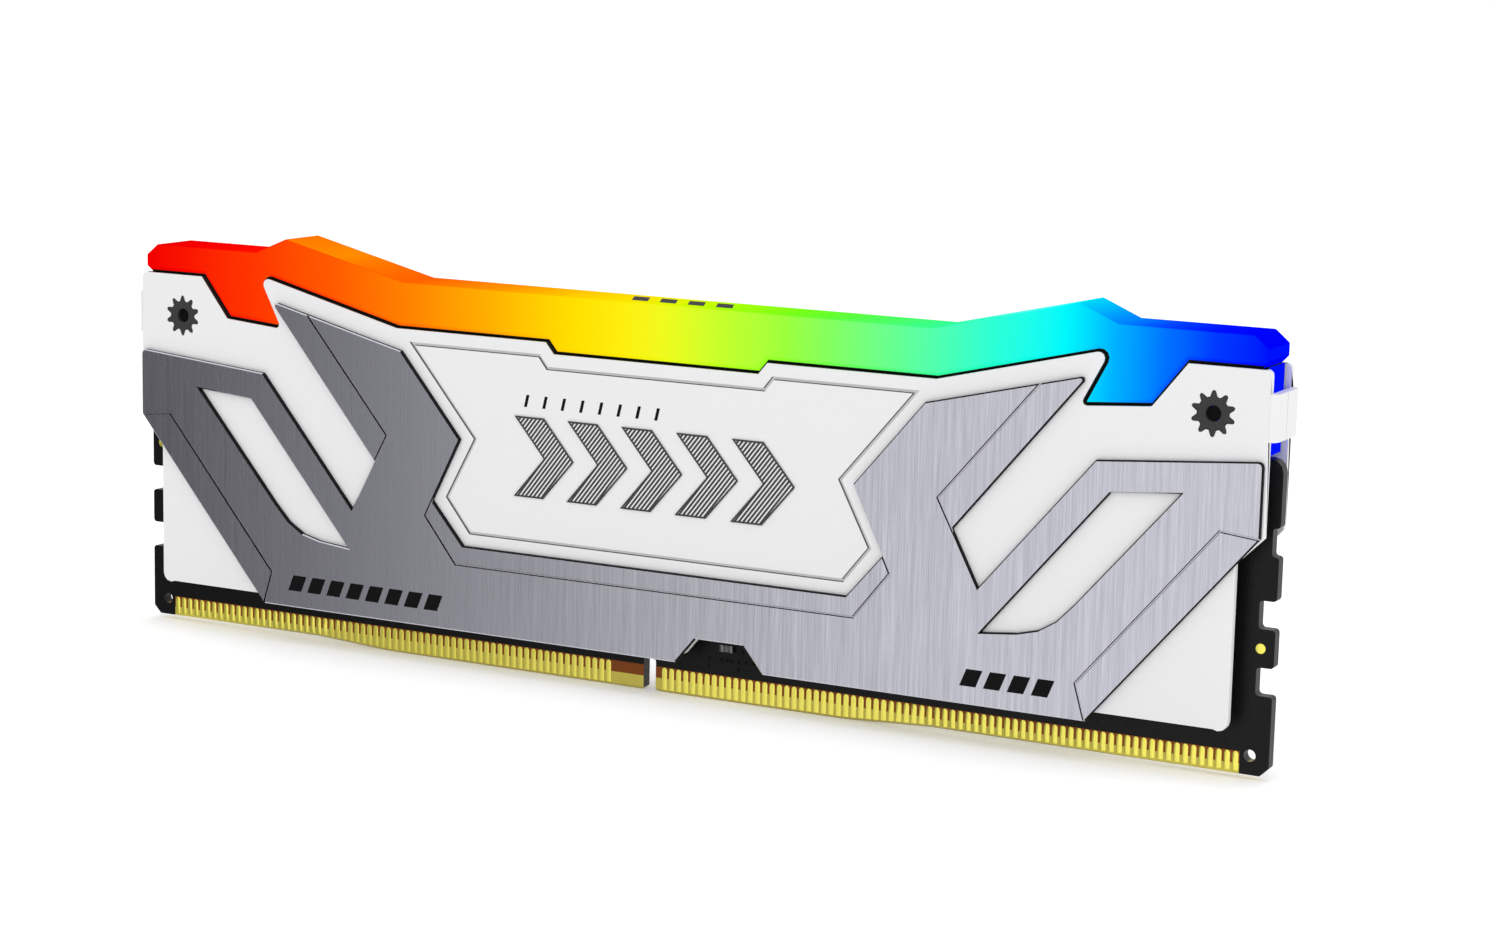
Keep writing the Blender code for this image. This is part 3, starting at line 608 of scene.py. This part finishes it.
def make_accent_plates():
    """Brushed plates with painted shade on their walls, a chamfered rim and engraved lines."""
    for side_name, side in SIDES:
        node = f"accent_plate_{side_name}"
        shape = cad_shape(node)
        for face in shape.faces:
            # painted shade: the walls of a plate take the dark finish
            face.material_index = 0 if abs(face.normal.y) > PLATE_BROAD else 1
        bevel(shape, sharp_edges(shape, rim_of(PLATE_FACE)), PLATE_RIM, 1)
        for face in shape.faces:
            # painted shade: rim slopes that face right, and upper slopes from the set place to the right
            if PLATE_SLOPE[0] < abs(face.normal.y) < PLATE_SLOPE[1]:
                rightward = -side * face.normal.x > PLATE_LEAN
                past_shaded_top = -side * face.calc_center_median().x > SHADED_TOP_FROM
                shaded_top = face.normal.z > PLATE_LEAN and past_shaded_top
                face.material_index = 1 if rightward or shaded_top else 0
        name = f"brushed_plate_{side_name}"
        piece = new_piece(name, shape, BRUSHED, WALL_SHADE, slot="brushed_aluminium", replaced=[node])
        section = groove_section(*PLATE_GROOVE)
        band = stretched(BAND_LINE + list(reversed(mirrored(BAND_LINE))), LINE_OVERSHOOT)
        lines = [("band", band)]
        for end_name, placed in (("right", list), ("left", mirrored)):
            lines.append((f"leg_{end_name}", placed(stretched(LEG_LINE, LINE_OVERSHOOT))))
            lines.append((f"foot_{end_name}", placed(stretched(FOOT_LINE, LINE_OVERSHOOT))))
        for name, path in lines:
            cutter = swept(path, section, PLATE_FACE, side)
            engrave(piece, f"{name}_{side_name}", cutter, side, WALL_SHADE, CUT_SLOPE)
        piece.data.shade_flat()


# ---------------------------------------------------------------- light bar


# the sloped band along the bar's lower rim: its width on the face, its depth, the share of it that is the lip
# with the gap's painted shade, and how far that lip stands out from the wall
BAND_WIDTH = 0.6
BAND_DEPTH = 0.4
LIP_SHARE = 0.35
LIP_OVERHANG = 0.09
# the band stops this far from the bar's ends
BAR_CORNER = 1.2
CRISP_RIM = 0.1
# faces nearer to the middle plane than this are the web between the spreaders, whose sides carry the gap's
# painted shade
WEB_LIMIT = 2.25
# the longest edge of the arcs that are made sharp
TIGHT_ARC_STEP = 0.25
# the depth in its normal below which a face of the bar is a wall, and above which it is broad
BAR_WALL = 0.3
BAR_BROAD = 0.95
# a wall that faces up more than this belongs to the bar's upper outline
BAR_UPWARD = 0.5


def unique(items):
    """The items without repeats, in their first order."""
    return list(dict.fromkeys(items))


def lines_meet(a, b, c, d):
    """Where the line through a and b meets the line through c and d."""
    along, other = b - a, d - c
    share = (c - a).cross(other) / along.cross(other)
    return a + along * share


def sharpen_tight_arcs(shape):
    """Turns the smallest rounded corners of the bar's outline into sharp ones, which can carry a mitre."""
    on_rim = rim_of(BAR_FACE)
    rim = [e for e in shape.edges if on_rim(e) and e.verts[0].co.y < 0 and len(e.link_faces) == 2]
    short = [e for e in rim if e.calc_length() < TIGHT_ARC_STEP]
    corners = []
    while short:
        chain = [short.pop()]
        for edge in chain:
            joined = [e for v in edge.verts for e in v.link_edges if e in short]
            short = [e for e in short if e not in joined]
            chain += joined
        verts = unique(v for e in chain for v in e.verts)
        sides = [e for e in rim if e not in chain and any(v in verts for v in e.verts)]
        ends = [[Vector((v.co.x, v.co.z)) for v in e.verts] for e in sides]
        corners.append((verts, lines_meet(*ends[0], *ends[1])))
    for verts, corner in corners:
        places = [(v.co.x, v.co.z) for v in verts]
        for vert in shape.verts:
            if any(math.dist((vert.co.x, vert.co.z), place) < SAME_PLACE for place in places):
                vert.co.x, vert.co.z = corner
    bmesh.ops.remove_doubles(shape, verts=shape.verts, dist=MERGE_DISTANCE)
    shape.normal_update()


def make_light_bar():
    """The glowing bar: crisp upper creases, a sloped band along its lower rim and a lip under it with the
    gap's painted shade.
    """
    shape = cad_shape("light_bar")
    sharpen_tight_arcs(shape)

    def beside_spreader(face):
        """A wall of the lower outline, which stands over the edge of a heat spreader."""
        between_ends = abs(face.calc_center_median().x) < BAR_END - BAR_CORNER
        return between_ends and abs(face.normal.y) < BAR_WALL and face.normal.z < BAR_UPWARD

    def sloped(face):
        return BAR_WALL < abs(face.normal.y) < BAR_BROAD

    def inset_by(vert, distance):
        """Whether a vertex lies that far in from either broad face of the bar."""
        return abs(abs(vert.co.y) - BAR_FACE + distance) < ON_LEVEL

    rim = sharp_edges(shape, rim_of(BAR_FACE))
    bevel(shape, [e for e in rim if any(beside_spreader(f) for f in e.link_faces)], BAND_WIDTH, 1)
    for vert in [v for v in shape.verts if inset_by(v, BAND_WIDTH)]:
        outward = sum((f.normal for f in vert.link_faces if beside_spreader(f)), Vector())
        vert.co += outward.normalized() * LIP_OVERHANG
        vert.co.y = math.copysign(BAR_FACE - BAND_DEPTH, vert.co.y)
    shape.normal_update()
    lip_top = BAR_FACE - BAND_DEPTH * (1 - LIP_SHARE)
    for side in (FRONT, BACK):
        band = [f for f in shape.faces if sloped(f) and side * f.normal.y > 0]
        parts = unique(p for f in band for p in (*f.verts, *f.edges)) + band
        level = (0, side * lip_top, 0)
        bmesh.ops.bisect_plane(shape, geom=parts, dist=1e-5, plane_co=level, plane_no=(0, side, 0))
    shape.normal_update()
    # painted shade: the lip, the walls over the spreaders and the sides of the web take the dark of the gap
    for face in shape.faces:
        distance = abs(face.calc_center_median().y)
        lip = sloped(face) and distance < lip_top
        under_lip = beside_spreader(face) and any(inset_by(v, BAND_DEPTH) for v in face.verts)
        web_side = abs(face.normal.y) > BAR_BROAD and distance < WEB_LIMIT
        face.material_index = 1 if lip or under_lip or web_side else 0
    rim = sharp_edges(shape, rim_of(BAR_FACE))
    bevel(shape, [e for e in rim if not any(sloped(f) for f in e.link_faces)], CRISP_RIM)
    piece = new_piece(
        "glowing_bar", shape, DIFFUSER, GAP_SHADE, slot="translucent_diffuser", replaced=["light_bar"]
    )
    smooth_edges(piece)


# ---------------------------------------------------------------- star inserts and pins


STAR_RIM = 0.07


def make_star_inserts():
    """Toothed inserts with an eased rim."""
    for side_name, side in SIDES:
        for end_name in ("left", "right"):
            node = f"star_insert_{side_name}_{end_name}"
            shape = cad_shape(node)
            face = max(abs(v.co.y) for v in shape.verts)
            bevel(shape, sharp_edges(shape, rim_of(face)), STAR_RIM, 1)
            name = f"star_{side_name}_{end_name}"
            piece = new_piece(name, shape, STAR_GREY, slot="dark_insert", replaced=[node])
            smooth_edges(piece)


# ---------------------------------------------------------------- circuit board and contacts


def edge_height(x):
    """Height of the contact edge at a place along the board."""
    (left_high, left_low), (right_low, right_high) = EDGE_RAMPS
    if x < left_low:
        share = (left_low - x) / (left_low - left_high)
    else:
        share = (x - right_low) / (right_high - right_low)
    return EDGE_STEP * max(0.0, min(1.0, share))


GROUND_CHAMFER = 0.26


def make_circuit_board():
    """The board with its contact edge ground to a chamfer."""
    shape = cad_shape("circuit_board")

    def ground(edge):
        return rim_of(BOARD_FACE)(edge) and all(v.co.z < EDGE_STEP + SAME_PLACE for v in edge.verts)

    bevel(shape, sharp_edges(shape, ground), GROUND_CHAMFER, 1)
    piece = new_piece("board", shape, MASK_BLACK, slot="black_solder_mask", replaced=["circuit_board"])
    smooth_edges(piece, 30)


CONTACT_FOOT = 0.28
# a contact's eased rim: how far in it goes, and how deep
CONTACT_RIM = 0.05
CONTACT_RIM_DEPTH = 0.02
CONTACT_ARC_STEPS = 6
# how deep a strip, stud or trace is sunk in the face under it
SUNK = 0.02


def contact(x, side):
    """One contact: a thin plated strip with a rounded upper end and an eased rim."""
    half = CONTACT_WIDTH / 2
    bottom = edge_height(x) + CONTACT_FOOT
    shape = bmesh.new()
    rings = []
    rim_y = CONTACT_FACE - CONTACT_RIM_DEPTH
    for y, inset in ((BOARD_FACE - SUNK, 0), (rim_y, 0), (CONTACT_FACE, CONTACT_RIM)):
        radius = half - inset
        outline = [(x - radius, bottom + inset), (x + radius, bottom + inset)]
        outline += arc((x, CONTACT_TOP - half), radius, 0, 180, CONTACT_ARC_STEPS)
        rings.append([shape.verts.new((px, side * y, pz)) for px, pz in outline])
    add_skin(shape, rings)
    return shape


def make_contacts():
    """The four rows of contacts, each a piece of its own."""
    for side_name, side in SIDES:
        for row_name, first, count in CONTACT_ROWS:
            places = [FIRST_CONTACT + (first + i) * CONTACT_PITCH for i in range(count)]
            shape = join([contact(x, side) for x in places])
            row = f"{side_name}_{row_name}"
            name = f"contact_row_{row}"
            piece = new_piece(name, shape, GOLD, slot="contact_gold", replaced=[f"contacts_{row}"])
            smooth_edges(piece, 30)


STUD_SIDES = 12
# the shares of a stud's height and of its radius at which its upper slope starts and ends
STUD_SHOULDER = 0.4
STUD_TOP = 0.7


def dome(x, z, radius, height, side):
    """A low round stud on a face of the board."""
    shape = bmesh.new()
    rings = []
    for share, out in ((1.0, -SUNK), (1.0, STUD_SHOULDER * height), (STUD_TOP, height)):
        ring = arc((x, z), radius * share, 0, 360, STUD_SIDES)[:-1]
        rings.append([shape.verts.new((px, side * (BOARD_FACE + out), pz)) for px, pz in ring])
    add_skin(shape, rings)
    return shape


# studs on the board: radius and height
STRIP_VIA = (0.16, 0.03)
END_VIA = (0.15, 0.03)
WINDOW_VIA = (0.19, 0.04)
TEST_POINT = (0.5, 0.05)
# covered vias above the contacts: how many, the first one's place, their pitch and how far they stray
STRIP_VIAS = 76
STRIP_VIA_START = -62.2
STRIP_VIA_PITCH = 1.66
STRIP_VIA_STRAY = 0.32
# covered vias along the board's ends: their heights and how far in from the end
END_VIA_HEIGHTS = range(9, 31, 2)
END_VIA_INSET = 2.45
# rows of vias in the window: height, then places along the board
WINDOW_VIAS = ((3.6, (5.7, 9.25)), (4.4, (5.75, 7.2, 7.85, 8.4, 9.25, 10.1, 11.0)), (5.5, (8.8, 9.7, 10.6)))
# traces in the window: places along the board, then the heights of their points and how far the top leans
WINDOW_TRACES = (6.0, 6.5, 9.2, 9.8, 10.4)
WINDOW_TRACE_HEIGHTS = (4.3, 5.6, 6.8)
WINDOW_TRACE_LEAN = 0.7
# traces by the ends: inset and top, then the height of their foot and the run and rise of the lean at the top
END_TRACES = ((2.9, 30.0), (3.15, 28.0))
END_TRACE_FOOT = 5.2
END_TRACE_LEAN = (1.2, 3.0)
TRACE_SECTION = [(-0.07, -SUNK), (-0.05, 0.025), (0.05, 0.025), (0.07, -SUNK)]
# bare test points: place along the board and height
TEST_POINTS = ((BOARD_END - 1.38, 12.95), (1.28 - BOARD_END, 20.3))


def make_board_details():
    """Covered vias and traces in the mask, and the bare test points near the board's ends."""
    strip_z = (CONTACT_TOP + SPREADER_BOTTOM) / 2
    for side_name, side in SIDES:
        studs = []
        for i in range(STRIP_VIAS):
            x = STRIP_VIA_START + i * STRIP_VIA_PITCH
            studs.append(dome(x, strip_z + STRIP_VIA_STRAY * (-1) ** i, *STRIP_VIA, side))
        for z in END_VIA_HEIGHTS:
            for end in (-1, 1):
                studs.append(dome(end * (BOARD_END - END_VIA_INSET), z, *END_VIA, side))
        window = [dome(x, z, *WINDOW_VIA, side) for z, places in WINDOW_VIAS for x in places]
        points = [dome(x, z, *TEST_POINT, side) for x, z in TEST_POINTS]
        paths = []
        for x in WINDOW_TRACES:
            path = zip((x, x, x + WINDOW_TRACE_LEAN), WINDOW_TRACE_HEIGHTS)
            paths.append(turned(path, side))
        for end in (-1, 1):
            for inset, top in END_TRACES:
                x = end * (BOARD_END - inset)
                run, rise = END_TRACE_LEAN
                paths.append([(x, END_TRACE_FOOT), (x, top - rise), (x - end * run, top)])
        traces = [swept(path, TRACE_SECTION, BOARD_FACE, side) for path in paths]
        for name, shapes, finish, slot in (
            ("covered_vias", studs, MASK_BLACK, "black_solder_mask"),
            ("window_vias", window, PIN_BLACK, "black_solder_mask"),
            ("covered_traces", traces, MASK_BLACK, "black_solder_mask"),
            ("test_points", points, GOLD, "contact_gold"),
        ):
            smooth_edges(new_piece(f"{name}_{side_name}", join(shapes), finish, slot=slot))


CAPACITOR_END_SHARE = 0.3
CAPACITOR_BODY_INSET = 0.04
CAPACITOR_RIM = 0.06


def make_window_capacitor():
    """The small capacitor in the window: a ceramic body between two tinned ends."""
    low, high = box_mm("window_capacitor")
    end = CAPACITOR_END_SHARE * (high[0] - low[0])
    shape = bmesh.new()
    for x_low, x_high, grow, finish in (
        (low[0], low[0] + end, 0.0, 1),
        (low[0] + end, high[0] - end, -CAPACITOR_BODY_INSET, 0),
        (high[0] - end, high[0], 0.0, 1),
    ):
        size = (x_high - x_low, high[1] - low[1] + grow, high[2] - low[2] + 2 * grow)
        centre = ((x_low + x_high) / 2, (low[1] + high[1]) / 2, (low[2] + high[2]) / 2)
        place = Matrix.Translation(centre) @ Matrix.Diagonal((*size, 1))
        made = bmesh.ops.create_cube(shape, size=1, matrix=place)
        for face in unique(f for v in made["verts"] for f in v.link_faces):
            face.material_index = finish
        bevel(shape, unique(e for v in made["verts"] for e in v.link_edges), CAPACITOR_RIM)
    piece = new_piece(
        "chip_capacitor", shape, CERAMIC, TIN, slot="capacitor_ceramic", replaced=["window_capacitor"]
    )
    smooth_edges(piece)


# ---------------------------------------------------------------- generic markings


SHORTEST_STRIPE = 0.15
PARALLEL = 1e-9
PRINT_RISE = 0.012
PRINT_SUNK = 0.03


def slanted_bar(x, z, width, height, lean):
    """The outline of a bar that leans to the right, from its lower left corner."""
    return [(x, z), (x + width, z), (x + width + lean, z + height), (x + lean, z + height)]


def clipped_line(polygon, origin, direction):
    """Where an endless line crosses a convex polygon: its two ends, or None."""
    near, far = -math.inf, math.inf
    area = sum(a[0] * b[1] - b[0] * a[1] for a, b in zip(polygon, polygon[1:] + polygon[:1]))
    corners = polygon if area > 0 else polygon[::-1]
    for (ax, az), (bx, bz) in zip(corners, corners[1:] + corners[:1]):
        inward = (-(bz - az), bx - ax)
        distance = (origin[0] - ax) * inward[0] + (origin[1] - az) * inward[1]
        speed = direction[0] * inward[0] + direction[1] * inward[1]
        if abs(speed) < PARALLEL:
            if distance < 0:
                return None
            continue
        met = -distance / speed
        if speed > 0:
            near = max(near, met)
        else:
            far = min(far, met)
    if far - near < SHORTEST_STRIPE:
        return None
    return [(origin[0] + direction[0] * t, origin[1] + direction[1] * t) for t in (near, far)]


ARROWHEADS = 5
ARROWHEAD_PITCH = 6.5
ARROWHEAD_THICKNESS = 3.4
ARROWHEAD_REACH = 3.6
ARROWHEAD_HEIGHT = 8.4
ARROWHEAD_MIDDLE = 23.9
# how far the arrowheads stand out of the face and reach into it, and their eased rim
ARROWHEAD_RISE = 0.1
ARROWHEAD_RIM = 0.06
# the line of painted shade round each arrowhead and the printed hatching: half their width, and their lowest
# and highest level above the face
EDGE_SHADE_LINE = (0.09, 0.08, 0.13)
HATCH_PRINT = (0.11, 0.08, 0.12)
HATCH_PITCH = 0.38
HATCH_ANGLE = 52.0
HATCH_LINES = range(-40, 41)


def print_section(half_width, low, high):
    """A flat ribbon of print, between two levels above a face."""
    return [(-half_width, low), (-half_width, high), (half_width, high), (half_width, low)]


def make_arrowheads():
    """A row of raised arrowheads with slanted hatching and a line of painted shade round each, in the middle
    of each panel.
    """
    direction = (math.cos(math.radians(HATCH_ANGLE)), math.sin(math.radians(HATCH_ANGLE)))
    across = (-direction[1], direction[0])
    middle, half = ARROWHEAD_MIDDLE, ARROWHEAD_HEIGHT / 2
    start = -((ARROWHEADS - 1) * ARROWHEAD_PITCH + ARROWHEAD_THICKNESS + ARROWHEAD_REACH) / 2
    low, high = SPREADER_FACE - ARROWHEAD_RISE, SPREADER_FACE + ARROWHEAD_RISE
    rim, stripe = print_section(*EDGE_SHADE_LINE), print_section(*HATCH_PRINT)
    for side_name, side in SIDES:
        raised, stripes = [], []
        for i in range(ARROWHEADS):
            x = start + i * ARROWHEAD_PITCH
            tip, heel = x + ARROWHEAD_REACH, x + ARROWHEAD_THICKNESS
            outline = [
                (x, middle - half), (heel, middle - half), (tip + ARROWHEAD_THICKNESS, middle),
                (heel, middle + half), (x, middle + half), (tip, middle),
            ]
            raised.append(plate(turned(outline, side), low, high, side, ARROWHEAD_RIM))
            # painted shade: a dark line round each arrowhead for the shade at its raised edge
            stripes.append(swept(turned(outline, side), rim, SPREADER_FACE, side, closed=True))
            for arm in ([outline[j] for j in (0, 1, 2, 5)], [outline[j] for j in (5, 2, 3, 4)]):
                for j in HATCH_LINES:
                    shift = j * HATCH_PITCH
                    ends = clipped_line(arm, (tip + across[0] * shift, middle + across[1] * shift), direction)
                    if ends:
                        stripes.append(swept(turned(ends, side), stripe, SPREADER_FACE, side))
        new_piece(f"arrowheads_{side_name}", join(raised), WHITE_PAINT, slot="white_paint")
        new_piece(f"hatching_{side_name}", join(stripes), PRINT_AND_EDGE_SHADE_GREY, slot="dark_insert")


def turned(points, side):
    """Points for the front, turned about the upright axis for the back."""
    return [(-side * x, z) for x, z in points]


# rows of slanted bars: the first one's place, how many, their pitch, and (z, width, height, lean)
PLATE_BARS = ((-45.6, 8, 2.55), (35.6, 4, 2.55))
PLATE_BAR_SIZE = (6.1, 1.75, 1.75, 0.7)
TICKS = (-15.6, 8, 2.25)
TICK_SIZE = (29.2, 0.36, 1.3, 0.3)
BAR_BARS = (-5.2, 4, 3.3)
BAR_BAR_SIZE = (-1.5, 1.9, 3.0, 1.4)


def bar_row(start, count, pitch, size):
    """The outlines of a row of slanted bars."""
    return [slanted_bar(start + i * pitch, *size) for i in range(count)]


def make_prints():
    """Plain slanted bars where such a module carries printed marks."""
    for side_name, side in SIDES:
        bars = [bar for row in PLATE_BARS for bar in bar_row(*row, PLATE_BAR_SIZE)]
        for name, outlines, face in (
            ("plate_marks", bars, PLATE_FACE), ("panel_ticks", bar_row(*TICKS, TICK_SIZE), SPREADER_FACE)
        ):
            low, high = face - PRINT_SUNK, face + PRINT_RISE
            marks = [plate(turned(outline, side), low, high, side) for outline in outlines]
            new_piece(f"{name}_{side_name}", join(marks), PRINT_BLACK, slot="dark_insert")
    marks = []
    for outline in bar_row(*BAR_BARS, BAR_BAR_SIZE):
        flat = plate(outline, -PRINT_SUNK, PRINT_RISE, 1)
        bmesh.ops.rotate(flat, matrix=Matrix.Rotation(math.pi / 2, 3, "X"), verts=flat.verts)
        bmesh.ops.translate(flat, vec=(0, 0, BAR_FLAT_TOP), verts=flat.verts)
        marks.append(flat)
    new_piece("bar_marks", join(marks), PRINT_BLACK, slot="dark_insert")


# ---------------------------------------------------------------- finishes of the pieces kept from CAD

KEPT_FINISHES = (
    ("memory_chip", CHIP_BLACK), ("power_management_chip", CHIP_BLACK), ("detect_hub", CHIP_BLACK),
    ("light_controller", CHIP_BLACK), ("thermal_pad", PAD_GREY), ("power_chip_pad", PAD_GREY),
    ("power_inductor", FERRITE), ("bulk_capacitor", CERAMIC), ("led_", LED_CREAM),
    ("through_pin", PIN_BLACK),
)


def finish_kept_nodes():
    """Gives each CAD node that stays visible a finish by the start of its name."""
    for name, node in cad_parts.items():
        for start, finish in KEPT_FINISHES:
            if name.startswith(start):
                node.data.materials.clear()
                node.data.materials.append(finish)


# ---------------------------------------------------------------- stage, light and camera

CAMERA_PLACE = (161.543, -286.879, 79.509)
CAMERA_FORWARD = (-0.461351, 0.871447, -0.166538)
CAMERA_UP = (-0.098195, 0.136402, 0.985775)
FOCAL_LENGTH = 77.078
SENSOR_WIDTH = 36.0


FLOOR_REACH = 4.0  # metres
FLOOR_GLOW = 0.2


def make_floor():
    """A pale sheet that glows a little, so that the shadow under the module stays thin."""
    sheet = bmesh.new()
    bmesh.ops.create_grid(sheet, x_segments=8, y_segments=8, size=FLOOR_REACH)
    mesh = bpy.data.meshes.new("floor")
    sheet.to_mesh(mesh)
    sheet.free()
    floor = bpy.data.objects.new("floor", mesh)
    bpy.context.scene.collection.objects.link(floor)
    finish = grained("pale_floor", srgb(253, 253, 253), srgb(255, 255, 255), 0.9, size=40.0, relief=0.0)
    shader = finish.node_tree.nodes["Principled BSDF"]
    shader.inputs["Specular IOR Level"].default_value = 0.0
    shader.inputs["Emission Color"].default_value = (1.0, 1.0, 1.0, 1.0)
    shader.inputs["Emission Strength"].default_value = FLOOR_GLOW
    mesh.materials.append(finish)
    floor.visible_glossy = False


FLAG_NEAR_EDGE = (27, 36)
FLAG_FAR_EDGE = (76, 96)
FLAG_TOP_EDGE = (0.15, 0.35)
FLAG_COLOUR = (0.02, 0.02, 0.024, 1)


def make_world():
    """An even white studio with a low dark flag to the left of the camera, for the metal to reflect.

    The flag's edges are degrees left of straight in front, and its top is a height on the unit sphere.
    """
    world = bpy.data.worlds.new("studio")
    bpy.context.scene.world = world
    world.use_nodes = True
    graph = Graph(world.node_tree)
    background = world.node_tree.nodes["Background"]
    direction = graph.add("SeparateXYZ", Vector=graph.add("TexCoord").outputs["Generated"])
    leftward = graph.math("MULTIPLY", direction.outputs["X"], -1.0)
    forward = graph.math("MULTIPLY", direction.outputs["Y"], -1.0)
    heading = graph.math("ARCTAN2", leftward, forward)

    def soft_step(value, edge):
        settings = {"interpolation_type": "SMOOTHSTEP"}
        return graph.add("MapRange", settings, Value=value, From_Min=edge[0], From_Max=edge[1]).outputs[0]

    past_near = soft_step(heading, [math.radians(a) for a in FLAG_NEAR_EDGE])
    past_far = soft_step(heading, [math.radians(a) for a in FLAG_FAR_EDGE])
    above = soft_step(direction.outputs["Z"], FLAG_TOP_EDGE)
    below = graph.math("SUBTRACT", 1.0, above)
    within = graph.math("MULTIPLY", graph.math("SUBTRACT", past_near, past_far), below)
    graph.feed(background, "Color", graph.mix(within, (1.0, 1.0, 1.0, 1), FLAG_COLOUR))
    background.inputs["Strength"].default_value = 1.0


def area_light(name, place, target, size, power):
    lamp = bpy.data.lights.new(name, "AREA")
    lamp.shape = "RECTANGLE"
    lamp.size, lamp.size_y = (s * MM for s in size)
    lamp.energy = power
    light = bpy.data.objects.new(name, lamp)
    light.location = Vector(place) * MM
    aim = Vector(target) * MM - light.location
    light.rotation_euler = aim.to_track_quat("-Z", "Y").to_euler()
    bpy.context.scene.collection.objects.link(light)


def make_camera():
    forward = Vector(CAMERA_FORWARD).normalized()
    right = forward.cross(Vector(CAMERA_UP)).normalized()
    up = right.cross(forward)
    lens = bpy.data.cameras.new("camera")
    lens.lens = FOCAL_LENGTH
    lens.sensor_width = SENSOR_WIDTH
    lens.clip_start = 0.01
    camera = bpy.data.objects.new("camera", lens)
    turn = Matrix((right, up, -forward)).transposed()
    camera.matrix_world = Matrix.Translation(Vector(CAMERA_PLACE) * MM) @ turn.to_4x4()
    bpy.context.scene.collection.objects.link(camera)
    bpy.context.scene.camera = camera


make_heat_spreaders()
make_accent_plates()
make_light_bar()
make_star_inserts()
make_circuit_board()
make_contacts()
make_board_details()
make_window_capacitor()
make_arrowheads()
make_prints()
finish_kept_nodes()

make_floor()
make_world()
area_light("soft_top", place=(120, -200, 420), target=(0, 0, 20), size=(400, 300), power=0.15)
make_camera()
bpy.context.scene.view_settings.view_transform = "Standard"
